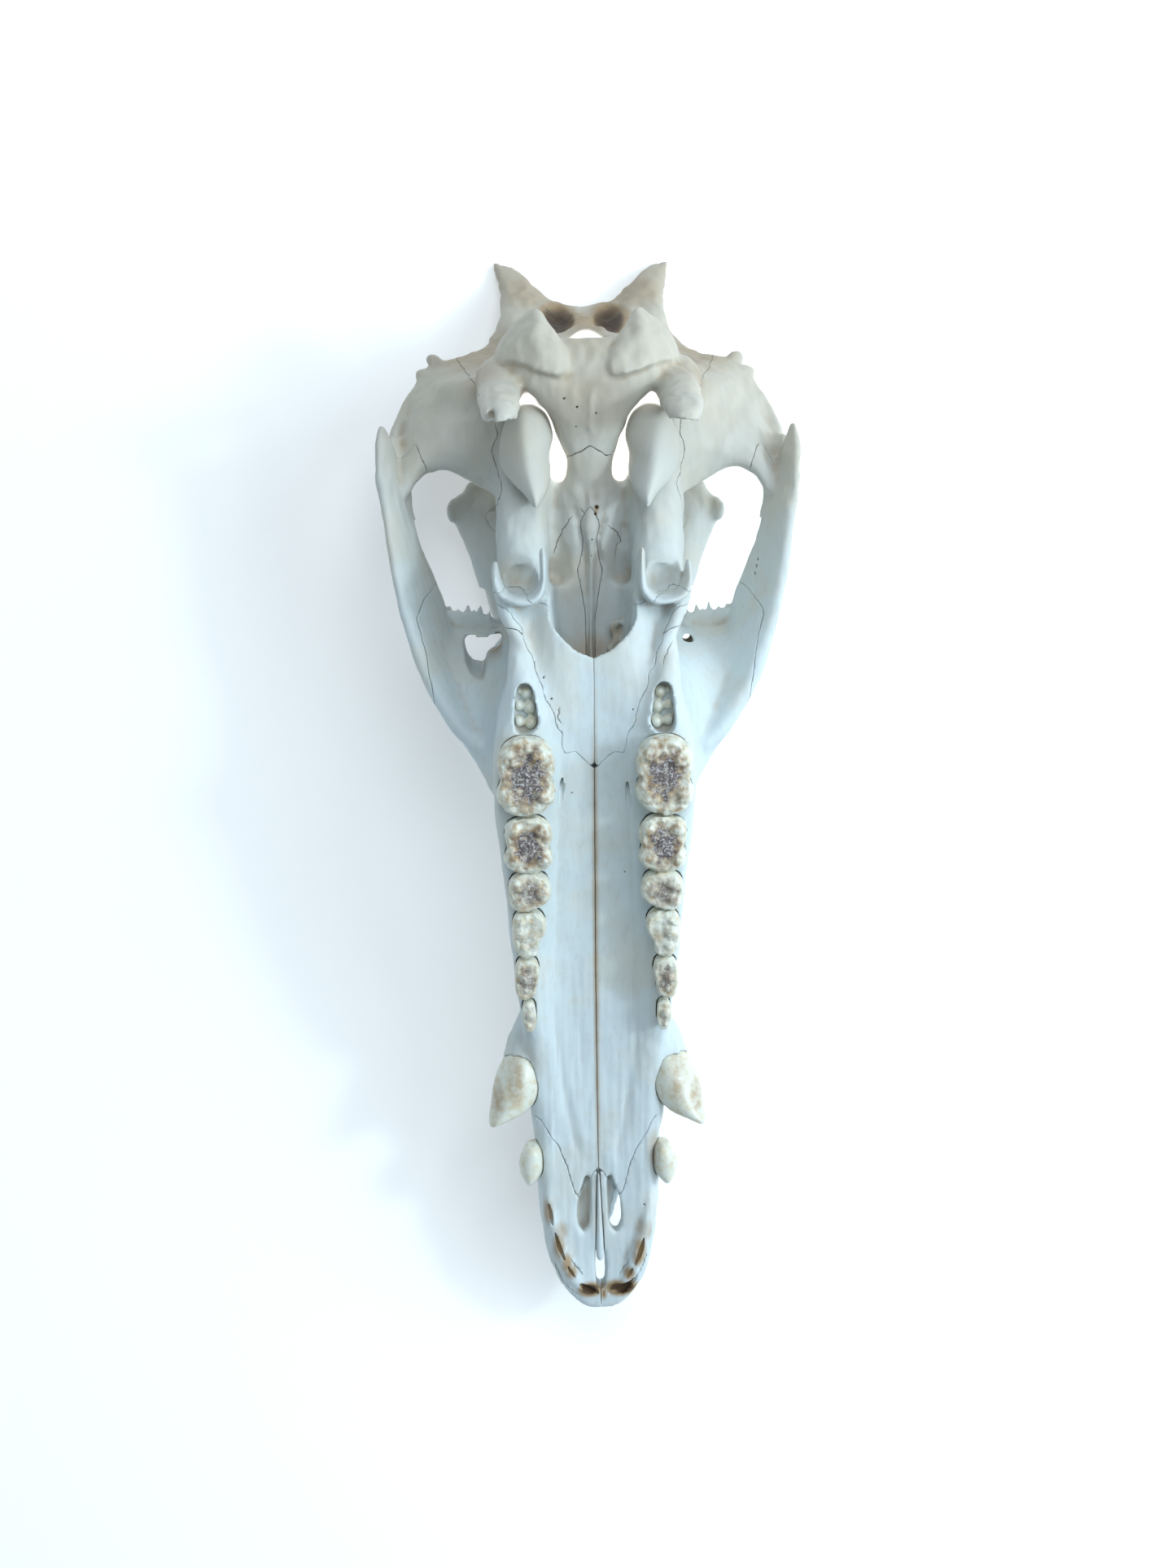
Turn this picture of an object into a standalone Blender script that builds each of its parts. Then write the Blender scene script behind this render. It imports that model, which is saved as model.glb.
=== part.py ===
"""Wild boar cranium, life size, lying palate up on its own roof.

The whole skull is modelled once, from lofted bodies that are fused and smoothed. It is then parted
along its sutures into its bones, with thin gaps. The teeth, the bullae and the tip of the vomer are
bodies of their own.

All shapes are written in millimetres in the skull's own frame: x to the animal's right, y back towards
the occiput, z down through the palate, with the palate near z = 0. The last step rolls the skull onto
the tips of its nuchal crest and its nasal bones, and sets the middle of its foot at the origin, in metres.
"""
import math
import random

import bmesh
import bpy
from mathutils import Euler, Matrix, Vector

MM = 0.001

# Driving dimensions, in mm
SNOUT_TIP = -165.2
CREST_TIP = (27.8, 145.8, -119.6)
NASAL_TIP = (0, -152.0, -36.2)
ARCH_HALF_WIDTH = 61.0
SUTURE = 0.3
SNOUT_SWAY = 1.0
SWAY_START = -60.0
FOOT_FLAT = 0.35

# Resolution of the fused body, in mm, and the faces that each solid keeps
CORE_VOXEL = 1.3
CORE_PASSES = 11
SKULL_VOXEL = 1.1
SKULL_PASSES = 4
EDGE_PASSES = 2
CUTTER_VOXEL = 0.8
EDGE_VOXEL = 0.88
TOOTH_VOXEL = 0.6
TOOTH_PASSES = 3
SKULL_FACES = 6000
BONE_SHARE = 0.68
FACES_PER_CUSP = 15
BULLA_FACES = 220
CANINE_FACES = 180
INCISOR_FACES = 110
VOMER_TIP_FACES = 90

BONE = (0.80, 0.76, 0.67)
SHADED_BONE = (0.62, 0.55, 0.44)
ENAMEL = (0.83, 0.77, 0.60)


def eased(rows, count, closed=False):
    """Even steps along a smooth curve through rows of numbers."""
    size = len(rows)
    spans = size if closed else size - 1
    out = []
    for k in range(count):
        t = k * spans / (count if closed else count - 1)
        i = min(int(t), spans - 1)
        f = t - i
        near = (i - 1, i, i + 1, i + 2)
        quad = (rows[j % size] if closed else rows[max(0, min(size - 1, j))] for j in near)
        out.append([
            0.5 * (2 * q + (r - p) * f + (2 * p - 5 * q + 4 * r - s) * f ** 2 + (3 * q - p - 3 * r + s) * f ** 3)
            for p, q, r, s in zip(*quad)
        ])
    return out


def placed(name, bm):
    """A scene object from a bmesh."""
    mesh = bpy.data.meshes.new(name)
    bm.to_mesh(mesh)
    bm.free()
    obj = bpy.data.objects.new(name, mesh)
    bpy.context.scene.collection.objects.link(obj)
    return obj


def skin(name, rings):
    """One closed body through rings of points in mm, bridged in order and capped."""
    bm = bmesh.new()
    loops = []
    for ring in rings:
        verts = [bm.verts.new(Vector(point) * MM) for point in ring]
        loops.append([bm.edges.new(pair) for pair in zip(verts, verts[1:] + verts[:1])])
    for near, far in zip(loops, loops[1:]):
        bmesh.ops.bridge_loops(bm, edges=near + far)
    for end in (loops[0], loops[-1]):
        bmesh.ops.triangle_fill(bm, edges=end, use_beauty=True)
    bmesh.ops.triangulate(bm, faces=bm.faces)
    bmesh.ops.recalc_face_normals(bm, faces=bm.faces)
    return placed(name, bm)


def along(axis, place, a, b):
    """The point (a, b) of an outline that stands across an axis."""
    return {'x': (place, a, b), 'y': (a, place, b), 'z': (a, b, place)}[axis]


def let_out(outline, distance):
    """An outline let out on every side by a distance, or taken in where it is below 0."""
    count = len(outline)
    turn = math.copysign(1, sum(
        outline[i - 1][0] * outline[i][1] - outline[i][0] * outline[i - 1][1] for i in range(count)))
    out = []
    for i, point in enumerate(outline):
        before = (Vector(point) - Vector(outline[i - 1])).normalized()
        after = (Vector(outline[(i + 1) % count]) - Vector(point)).normalized()
        way = Vector((before.y + after.y, -before.x - after.x)) * turn
        way *= distance / max(0.3, way.length_squared / 2)
        out.append((point[0] + way.x, point[1] + way.y))
    return out


def slices(name, axis, stations, count=24, around=40, mirror=False):
    """A body through flat outlines, each (place, [(a, b), ...]), smoothed round and along.
    With mirror, an outline is the right half, from the top of the midline round to its foot."""
    rows = [[place] + [value for point in outline for value in point] for place, outline in stations]
    rings = []
    for row in eased(rows, count):
        points = list(zip(row[1::2], row[2::2]))
        if mirror:
            points += [(-a, b) for a, b in reversed(points[1:-1])]
        rings.append([along(axis, row[0], a, b) for a, b in eased(points, around, closed=True)])
    return skin(name, rings)


def limb(name, stations, up=(0, 0, 1), count=24, around=20, power=2.0, rounded=True):
    """A bar along a curve, each station (x, y, z, half width, half height); power squares its section."""
    rows = eased(stations, count)
    last = count - 1
    sections = []
    for i, row in enumerate(rows):
        ahead = (Vector(rows[min(last, i + 1)][:3]) - Vector(rows[max(0, i - 1)][:3])).normalized()
        side = Vector(up).cross(ahead).normalized()
        sections.append((Vector(row[:3]), side, ahead.cross(side), ahead, max(row[3], 0.15),
                         max(row[4], 0.15)))

    def ring(section, scale=1.0, shift=0.0):
        centre, side, rise, ahead, width, height = section
        out = []
        for k in range(around):
            c = math.cos(2 * math.pi * k / around)
            s = math.sin(2 * math.pi * k / around)
            a = math.copysign(abs(c) ** (2 / power), c) * width * scale
            b = math.copysign(abs(s) ** (2 / power), s) * height * scale
            out.append(centre + side * a + rise * b + ahead * shift)
        return out

    rings = [ring(section) for section in sections]
    if rounded:
        for s in (0.4, 0.7, 0.97):
            small = math.sqrt(1 - s * s)
            rings.insert(0, ring(sections[0], small, -min(sections[0][4:]) * s))
            rings.append(ring(sections[-1], small, min(sections[-1][4:]) * s))
    return skin(name, rings)


def blob(name, centre, radii, turn=(0, 0, 0), level=3):
    """A stretched ball, turned by degrees about x, y and z."""
    bm = bmesh.new()
    bmesh.ops.create_icosphere(bm, subdivisions=level, radius=1)
    turned = Euler([math.radians(angle) for angle in turn]).to_matrix().to_4x4()
    stretched = Matrix.Diagonal((*(Vector(radii) * MM), 1))
    bmesh.ops.transform(bm, matrix=Matrix.Translation(Vector(centre) * MM) @ turned @ stretched,
                        verts=bm.verts)
    return placed(name, bm)


def prism(name, outline, low, high):
    """A flat outline in x and y, drawn out from one height to another."""
    return skin(name, [[(a, b, z) for a, b in outline] for z in (low, high)])


def mirrored_outline(half):
    """A whole outline from its right half, whose first and last points are on the midline."""
    return half + [(-x, y) for x, y in reversed(half[1:-1])]


def other_side(obj):
    """The mirror image of a piece, across the skull's midplane."""
    bm = bmesh.new()
    bm.from_mesh(obj.data)
    bmesh.ops.scale(bm, vec=(-1, 1, 1), verts=bm.verts)
    bmesh.ops.reverse_faces(bm, faces=bm.faces)
    return placed(obj.name + "_mirrored", bm)


def both(*pieces):
    """Each piece and its mirror image."""
    return [side for piece in pieces for side in (piece, other_side(piece))]


def applied(obj):
    """The object with its modifiers made real."""
    shown = obj.evaluated_get(bpy.context.evaluated_depsgraph_get())
    mesh = bpy.data.meshes.new_from_object(shown)
    obj.modifiers.clear()
    obj.data = mesh
    return obj


def copied(obj):
    """A second object on a copy of the mesh."""
    twin = bpy.data.objects.new(obj.name + "_copy", obj.data.copy())
    bpy.context.scene.collection.objects.link(twin)
    return twin


def fused(name, pieces, voxel, passes):
    """The pieces as one body on a fine grid, softened by a number of smoothing passes."""
    bm = bmesh.new()
    for piece in pieces:
        bm.from_mesh(piece.data)
        bpy.data.objects.remove(piece)
    obj = placed(name, bm)
    grid = obj.modifiers.new("fuse", 'REMESH')
    grid.mode = 'VOXEL'
    grid.voxel_size = voxel * MM
    if passes:
        soften = obj.modifiers.new("soften", 'SMOOTH')
        soften.factor = 0.5
        soften.iterations = passes
    return applied(obj)


def thinned(obj, faces=0, share=1.0):
    """The same form in fewer faces, given as a number or as a share of what it has."""
    thin = obj.modifiers.new("thin", 'DECIMATE')
    thin.ratio = faces / sum(len(face.vertices) - 2 for face in obj.data.polygons) if faces else share
    thin.use_collapse_triangulate = True
    return applied(obj)


def cut(obj, tool, operation):
    """A Boolean with another closed body, which is used up. MANIFOLD is fast on these dense bodies."""
    step = obj.modifiers.new("cut", 'BOOLEAN')
    step.operation = operation
    step.solver = 'MANIFOLD'
    step.object = tool
    applied(obj)
    bpy.data.objects.remove(tool)
    return obj


def largest(obj):
    """Only the largest closed surface of a body."""
    bm = bmesh.new()
    bm.from_mesh(obj.data)
    left = set(bm.verts)
    shells = []
    while left:
        start = left.pop()
        shell = {start}
        edge_of_shell = [start]
        while edge_of_shell:
            vert = edge_of_shell.pop()
            for edge in vert.link_edges:
                other = edge.other_vert(vert)
                if other in left:
                    left.remove(other)
                    shell.add(other)
                    edge_of_shell.append(other)
        shells.append(shell)
    shells.sort(key=len)
    scraps = [vert for shell in shells[:-1] for vert in shell]
    bmesh.ops.delete(bm, geom=scraps, context='VERTS')
    bm.to_mesh(obj.data)
    bm.free()
    return obj


# The masses of the skull

def face_body():
    """Snout and upper jaw, from the diastema to the orbits."""
    return slices("face", 'y', [
        (-112, [(0, -42.5), (9, -42), (14, -31), (18.6, -12), (16, -5.0), (8, -5), (0, -5)]),
        (-100, [(0, -45.5), (11, -44), (15.4, -31), (20.4, -11), (17.5, -4.2), (8, -5), (0, -5)]),
        (-85, [(0, -48.5), (12, -47), (16, -32), (21, -12), (18.5, -3.5), (8, -5.4), (0, -5.5)]),
        (-60, [(0, -54), (13, -52.5), (16.5, -36), (23.2, -12), (21.8, -0.5), (10, -5), (0, -5.5)]),
        (-30, [(0, -60.5), (14, -59), (18, -42), (25.6, -14), (24.8, 1.5), (11, -4.6), (0, -5.5)]),
        (-5, [(0, -66), (15, -65), (21, -46), (28, -16), (27.4, 1.5), (10.5, -3.8), (0, -5)]),
        (15, [(0, -71.5), (18, -70.5), (26, -52), (28, -18), (26.5, 0.5), (11, -3), (0, -4.5)]),
        (30, [(0, -76), (22, -75), (27, -60), (24.5, -28), (23, -9), (12, -3.5), (0, -4.2)]),
        (44, [(0, -80), (25, -79), (22, -64), (18.5, -40), (20, -20), (13, -8), (0, -7)]),
        (52, [(0, -83), (25, -82), (20, -66), (15.5, -44), (17, -26), (13, -12), (0, -12)]),
    ], count=40, around=56, mirror=True)


def roof():
    """The frontal and parietal plate, widest at the processes behind the orbits."""
    def row(y, edge, top, edge_z):
        return (y, [(0, top), (edge * 0.6, top + 0.8), (edge * 0.93, top + (edge_z - top) * 0.45),
                    (edge, edge_z), (edge * 0.8, edge_z + 5), (edge * 0.5, edge_z + 9), (0, edge_z + 10)])
    return slices("roof", 'y', [
        row(8, 18, -69, -63),
        row(22, 27, -73.5, -67),
        row(30, 30, -76, -70),
        row(36, 31, -78, -72.5),
        row(43, 33.5, -80.5, -75),
        row(55, 37, -85, -78.5),
        row(63, 40, -88, -80),
        row(69, 42.5, -90.5, -81.5),
        row(75, 37, -93, -84.5),
        row(82, 31, -95.5, -88),
        row(94, 23.5, -99.5, -92),
        row(107, 19, -103.5, -96),
        row(119, 18.5, -107, -99.5),
        row(129, 21, -110.5, -103),
    ], count=44, around=44, mirror=True)


def braincase():
    """The case under the roof, between the temporal hollows."""
    def row(y, half_width, top, low):
        middle = (top + low) / 2
        half = (low - top) / 2
        return (y, [(0, top), (half_width * 0.6, middle - half * 0.85),
                    (half_width * 0.97, middle - half * 0.3),
                    (half_width * 0.98, middle + half * 0.25), (half_width * 0.7, middle + half * 0.8),
                    (0, low)])
    return slices("braincase", 'y', [
        row(36, 15, -76, -42),
        row(50, 17, -83, -38),
        row(65, 20.5, -88, -36),
        row(80, 26.5, -93, -35),
        row(95, 30, -98, -35),
        row(110, 29.5, -102, -36),
        row(119, 25, -103, -44),
        row(124, 18, -104, -58),
    ], count=30, around=40, mirror=True)


def nuchal_plate():
    """The back of the head, a plate whose top edge rises to the two tips of the crest."""
    def row(x, low, middle, crest, thick):
        (low_y, low_z), (middle_y, middle_z), (crest_y, crest_z) = low, middle, crest
        return (x, [low, middle, crest, (crest_y - 1.2, crest_z - 1.6), (crest_y - thick * 0.7, crest_z + 3),
                    (middle_y - thick - 2, middle_z), (low_y - thick - 3, low_z)])
    half = [
        row(0, (125.6, -62), (128, -84), (131.6, -108), 12),
        row(5, (124.8, -60), (127.5, -84), (133.0, -108.5), 12),
        row(10, (121.5, -55), (126.5, -84), (134.2, -109.5), 10),
        row(15, (119, -50), (126, -84), (138.6, -112), 8),
        row(20, (117, -48), (125, -84), (142.8, -115), 7),
        row(24, (115, -48), (123.5, -84), (145.4, -118.0), 7),
        row(25.6, (114, -48), (122, -84), (145.6, -118.6), 6),
        row(26.2, (113.5, -49), (120.4, -83), (136.4, -111), 6),
        row(26.8, (113, -49), (119.6, -82), (128.4, -101.5), 6),
        row(29.2, (112, -50), (118.6, -81), (123.2, -93.5), 6),
        row(33.2, (111, -52), (117.6, -78), (119.4, -87), 6),
        row(40, (110, -56), (116, -74), (117.4, -80.5), 5),
        row(46, (108, -60), (114, -72), (116.6, -78), 4),
    ]
    left = [(-x, outline) for x, outline in reversed(half[1:])]
    return slices("nuchal", 'x', left + half, count=96, around=40)


def crest_tip():
    """The point of the right wing of the crest."""
    return limb("crest_tip", [(23.4, 136, -111.5, 3.0, 2.6), (25.4, 141.4, -115.6, 2.3, 2.0),
                              (*CREST_TIP, 0.9, 0.8)],
                up=(0, 1, 0))


def squamosal_shelf():
    """The right shelf over the jaw joint, from the braincase out to the arch."""
    return slices("shelf", 'x', [
        (24, [(76, -44), (90, -38), (104, -42), (113, -62), (108, -78), (92, -78), (78, -60)]),
        (34, [(81, -50), (92, -45), (104, -51), (115.5, -73), (113, -79), (98, -66), (83, -57)]),
        (43, [(86, -50), (94, -47.5), (104, -56), (116.4, -76), (114, -80), (101, -67), (87.2, -57)]),
        (50, [(83.6, -49), (92, -49), (103, -60), (112, -74.5), (109, -78), (98, -68), (85, -57)]),
        (54.5, [(77, -47), (88, -50), (99, -62), (106, -70.5), (103, -73), (93, -64), (79, -57)]),
        (58.6, [(81, -50), (87, -53), (93, -58), (97.5, -63), (95, -64), (89, -61), (83, -56)]),
    ], count=26, around=40)


def cheek():
    """The right root of the arch, under the orbit."""
    return slices("cheek", 'x', [
        (20, [(-16, -12), (10, -8), (33, -14), (40, -40), (40, -66), (22, -68), (-2, -50), (-16, -30)]),
        (27, [(-9, -13), (10, -15), (28, -24), (35, -45), (38, -66), (28, -72), (6, -50), (-8, -28)]),
        (33, [(-1, -19), (11, -21), (27, -31), (35, -48), (38, -62), (30, -70), (16, -50), (4, -31)]),
        (38.5, [(7.0, -22.5), (15, -25), (28, -35), (35, -48), (38, -60), (30, -66), (20, -48), (11, -32)]),
        (43.5, [(15.5, -26), (23, -29), (34, -38), (38, -48), (40, -57), (37, -60), (27, -48), (20, -34)]),
        (47.5, [(28.5, -29), (34, -32), (40, -40), (43, -48), (45, -55), (43, -56), (36, -46), (30, -36)]),
    ], count=24, around=36)


def tuber():
    """The right end of the tooth row, behind the last molar's crypt."""
    return limb("tuber", [(21, 44, -15, 2.0, 4), (21.6, 36, -9.5, 3.0, 5), (20.6, 28, -5.4, 4.6, 5.4),
                          (19.6, 18, -3, 6, 5)])


def basicranium():
    """The bar of bone along the base, from the choana to the foramen magnum."""
    return limb("base", [
        (0, 40, -44, 5, 7), (0, 60, -42, 8.5, 7), (0, 76, -39.5, 8.8, 7), (0, 86, -36.5, 6.6, 5.6),
        (0, 93, -34.8, 7.4, 5.4), (0, 100, -33.6, 10, 5.4), (0, 107, -33, 16, 5.8), (0, 114, -34.0, 22, 6.2),
        (0, 120.6, -37.4, 19, 4.2),
    ], count=34, around=28, power=2.6)


def pterygoid_mass():
    """The right buttress beside the choana."""
    return limb("pterygoid", [
        (19.6, 90, -46, 8.0, 9), (19.6, 80, -41, 8.0, 10), (19.8, 70, -37, 7.8, 11.6),
        (19.8, 62, -34, 7.6, 11.4), (19.6, 52, -27, 7.4, 11.6), (18.6, 44, -20.5, 6, 9),
    ], power=2.8)


# The smaller forms

def jugal():
    """The right cheek bone's plate, out along the arch to its free tip."""
    reach = ARCH_HALF_WIDTH
    return limb("jugal", [
        (31.5, 6, -22, 2.6, 5), (37.4, 12.5, -27, 3.2, 8), (43.0, 23, -34, 3.4, 11.5),
        (46.8, 34, -39.5, 3.4, 13.5),
        (50.4, 46, -43, 3.0, 14.2), (54.0, 58, -44.5, 2.7, 11.6), (reach - 3.9, 71, -45.5, 2.5, 8.6),
        (reach - 1.2, 83, -46, 2.2, 6.4), (reach - 0.4, 92, -46, 1.8, 4.8), (reach, 98.5, -46, 0.9, 2.0),
    ], up=(0.36, 0, 0.93), count=36, around=24, power=2.4)


def squamosal_bar():
    """The part of the right arch that runs forward over the jugal."""
    return limb("bar", [(57.6, 93, -57, 2.2, 5.5), (56.6, 83, -54, 2.4, 5.5), (55.2, 73, -52, 2.2, 5),
                        (52.6, 62, -52, 1.5, 3)], up=(0.36, 0, 0.93))


def temporal_ridge():
    """The right edge of the shelf, from the arch up to the nuchal crest."""
    return limb("ridge", [(45.5, 114.6, -77.6, 1.6, 1.8), (49.6, 111.6, -75.8, 1.4, 1.6),
                          (53, 106.6, -70.6, 1.2, 1.5),
                          (56.4, 100.6, -65, 1.2, 1.7), (58.6, 94, -60, 1.3, 2.4)])


def crest_knobs():
    """Two rough points where the right ridge meets the crest."""
    return [blob("knob", (46.6, 116.6, -79), (2.6, 2.2, 2.6)), blob("knob", (50.2, 112.2, -76.4),
                                                                    (2.2, 2.0, 2.2))]


def condyle():
    """The right condyle, a D in plan with a straight sharp inner edge."""
    def row(x, low, up, swell):
        (low_y, low_z), (up_y, up_z) = low, up
        middle = ((low_y + up_y) / 2 + swell * 0.6, (low_z + up_z) / 2 + swell)
        return (x, [(low_y - 2.4, low_z - 2), low, middle, up, (up_y - 0.9, up_z - 4), (up_y - 5, up_z - 11),
                    (low_y - 3, up_z - 10)])
    return slices("condyle", 'x', [
        row(5.4, (116.4, -28.8), (118.0, -29.6), 0.1),
        row(6.4, (115.9, -26.7), (121.0, -32.0), 0.6),
        row(9.4, (116.0, -26.2), (125.8, -36.0), 1.4),
        row(12, (116.8, -26.6), (129.4, -39.4), 1.8),
        row(15, (117.6, -27.6), (132.3, -42.4), 2.2),
        row(18.4, (118.8, -29.8), (130.6, -45.0), 2.2),
        row(22, (119.6, -33.0), (128.0, -48.0), 2.0),
        row(25, (119.2, -37.5), (124.2, -48.5), 1.2),
        row(26.8, (118.3, -42.0), (120.8, -47.0), 0.4),
    ], count=40, around=36)


def condyle_root():
    """What carries the right condyle, a low swelling in front of it."""
    return limb("condyle_root", [(7.5, 113.0, -34.5, 4.0, 3.4), (13, 115.5, -36.5, 7.6, 7.4),
                                 (18, 116.5, -43, 8.4, 9.4), (21, 115, -51, 6, 8)], up=(0, 1, 0))


def paracondylar():
    """The long flat process beside the right condyle."""
    return limb("paracondylar", [
        (26.2, 111.6, -46, 7.4, 7.5), (26.0, 109.6, -34, 6.6, 5.6), (26.0, 107.4, -22, 6.0, 4.4),
        (26.0, 105.6, -12, 5.8, 3.6), (26.0, 104.2, -6, 5.0, 3.2), (25.9, 103.4, -2.4, 3.2, 2.4),
    ], up=(0, 1, 0.12), power=2.2)


def postorbital():
    """The right process behind the orbit, a broad thin shelf turned down at its end."""
    return limb("postorbital", [(31, 70.5, -87, 8.5, 2.4), (36.5, 70.2, -84.4, 5.6, 2.3),
                                (40.2, 69.8, -81.0, 4.2, 2.0), (42.4, 69.4, -77.2, 3.3, 1.4)], power=2.8)


def brow():
    """The right edge of the roof over the orbit."""
    return limb("brow", [(27.4, 36, -76, 3.4, 2.2), (29.4, 44, -77.4, 3.6, 2.3), (32.0, 53, -79, 3.8, 2.4),
                         (34.8, 61, -80, 4.2, 2.5), (37.0, 68, -80.5, 4.4, 2.6), (34.2, 76, -84, 4.0, 2.6)])


def orbit_edge():
    """The thin rear edge of the right orbit's floor."""
    return limb("orbit_edge", [(28, 37, -56, 2.6, 1.4), (36, 38.6, -55, 2.8, 1.3),
                               (43.5, 40.5, -52.5, 2.4, 1.3)])


def pterygoid_rim():
    """The raised front wall of the right pterygoid fossa, round to the spur at its inner end."""
    return limb("rim", [
        (27.8, 60.4, -20, 0.9, 2.4), (27.3, 56.6, -16.5, 1.3, 4.6), (25.4, 53.0, -13.5, 1.5, 6.0),
        (21.4, 51.6, -12.4, 1.5, 7.2), (17.4, 51.8, -12, 1.5, 7.2), (14.6, 54.6, -11.8, 1.3, 6),
        (14.0, 59.6, -12.4, 1.0, 5), (14.2, 65.0, -14.5, 0.8, 4.0),
    ], count=36)


def palatine_ridge():
    """The rounded edge from the right hook forward to the palate."""
    return limb("edge", [(26.6, 54, -14.6, 2.2, 3.4), (23.8, 46, -11.4, 2.3, 3.4),
                         (20.2, 38.5, -8.4, 2.0, 3.0), (17.0, 31.5, -6.4, 1.2, 2.2)])


def canine_socket():
    return limb("socket", [(17.5, -64, -24, 3, 4), (18.2, -74, -18, 4.2, 5.6), (20.8, -83, -13, 5.8, 6.4),
                           (22.2, -88.5, -10.5, 6.2, 6.2)])


def vomer_keel():
    """The low keel along the roof of the choana, broad where it starts and thin in front."""
    return limb("keel", [(0, 8, -24, 0.8, 5), (0.1, 34, -33.5, 0.7, 2.8), (0.3, 46, -35.8, 0.6, 1.8),
                         (0.3, 58, -36.2, 0.7, 2.0), (0.3, 64, -36.0, 1.1, 2.4), (0.2, 70, -35.2, 2.2, 2.8),
                         (0.2, 75, -34.2, 1.4, 2.2), (0.2, 80, -33.4, 0.6, 1.4)], count=40)


def premaxilla_body():
    """The end of the snout."""
    return slices("premaxilla", 'y', [
        (SNOUT_TIP, [(0, -8.8), (1.6, -9), (3.4, -8), (3.9, -6.8), (3.2, -5.4), (1.6, -4.8), (0, -4.8)]),
        (-163, [(0, -10.5), (4.3, -11), (6.8, -9.5), (7.6, -7), (6.4, -4.7), (3.5, -4.0), (0, -4.0)]),
        (-157.5, [(0, -12), (7, -13), (10.8, -11), (11.9, -7), (10.2, -4.2), (5, -3.6), (0, -3.8)]),
        (-150, [(0, -11), (8, -13.5), (13.7, -14), (15.2, -8), (13.2, -3.8), (7, -4), (0, -4.4)]),
        (-141, [(0, -9), (8, -10.5), (14.9, -17.5), (17.1, -10), (15.0, -3.8), (8, -4.2), (0, -4.6)]),
        (-131, [(0, -8.4), (8, -9.5), (14.8, -21), (18.0, -12), (16.0, -4.2), (9, -4.4), (0, -4.8)]),
        (-120, [(0, -8.4), (8, -9.5), (14.4, -27), (18.4, -14), (16.5, -4.6), (9, -4.8), (0, -5)]),
        (-108, [(0, -8.4), (8, -9.5), (14.6, -30), (19.2, -14), (16.4, -4.8), (9, -4.8), (0, -4.8)]),
        (-98, [(0, -8.4), (8, -9.5), (14.8, -30), (20.2, -14), (16.4, -4.4), (9, -4.9), (0, -5)]),
    ], count=44, around=60, mirror=True)


def socket_border():
    """The raised border of the right front teeth's sockets."""
    return limb("border", [(15.4, -126, -4.9, 1.0, 1.0), (14.5, -134, -4.2, 1.4, 1.5),
                           (12.9, -141, -3.8, 1.7, 1.7),
                           (11.2, -147.4, -3.4, 2.0, 2.1), (8.8, -153.4, -3.8, 1.9, 1.6),
                           (5.4, -158.0, -4.4, 1.3, 1.0)])


def nasal_process():
    """The right side of the nose opening, up to the nasal bone."""
    return limb("nasal_process", [
        (14.6, -146, -14.5, 1.4, 3), (14.9, -136, -20, 1.6, 5), (14.3, -124, -28, 1.8, 6),
        (13.4, -110, -35, 2.0, 7), (13.0, -98, -38, 2.0, 7),
    ])


def nasal_tips():
    """The free ends of the nasal bones, over the nose opening."""
    def row(y, half_width, top, thick):
        return (y, [(0, top), (half_width * 0.6, top + 0.5), (half_width, top + 2.2),
                    (half_width * 0.96, top + thick),
                    (half_width * 0.5, top + thick - 0.4), (0, top + thick)])
    return slices("nasal_tips", 'y', [
        row(NASAL_TIP[1], 2.4, NASAL_TIP[2], 3),
        row(-149, 4.6, -36.8, 3.6),
        row(-142, 6.8, -38, 4),
        row(-129, 9.4, -40, 4.4),
        row(-112, 11, -42.8, 4.8),
        row(-98, 11.5, -46, 5),
    ], count=26, around=32, mirror=True)


# The hollows

def nasal_cavity():
    return slices("nasal_cavity", 'y', [
        (-174, [(0, -33), (7, -32), (11, -24), (10, -15), (5, -12.6), (0, -12.6)]),
        (-160, [(0, -33.5), (8, -32), (12, -24), (11, -16), (7, -13), (0, -12.8)]),
        (-148, [(0, -34), (8, -33), (12.6, -24), (11.8, -16), (8, -11.5), (0, -11)]),
        (-130, [(0, -36), (9, -35), (12.8, -26), (12.8, -16), (8, -9.6), (0, -9)]),
        (-112, [(0, -38.5), (9, -38), (12.0, -30), (13, -16), (9, -9.8), (0, -9)]),
        (-90, [(0, -43.5), (10, -42.5), (12.6, -32), (13.6, -16), (9, -10.5), (0, -10)]),
        (-66, [(0, -48), (10.5, -47), (13, -34), (14, -18), (9, -13), (0, -13)]),
        (-52, [(0, -46), (7, -45), (9, -34), (9, -22), (6, -17), (0, -17)]),
    ], count=36, around=44, mirror=True)


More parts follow.
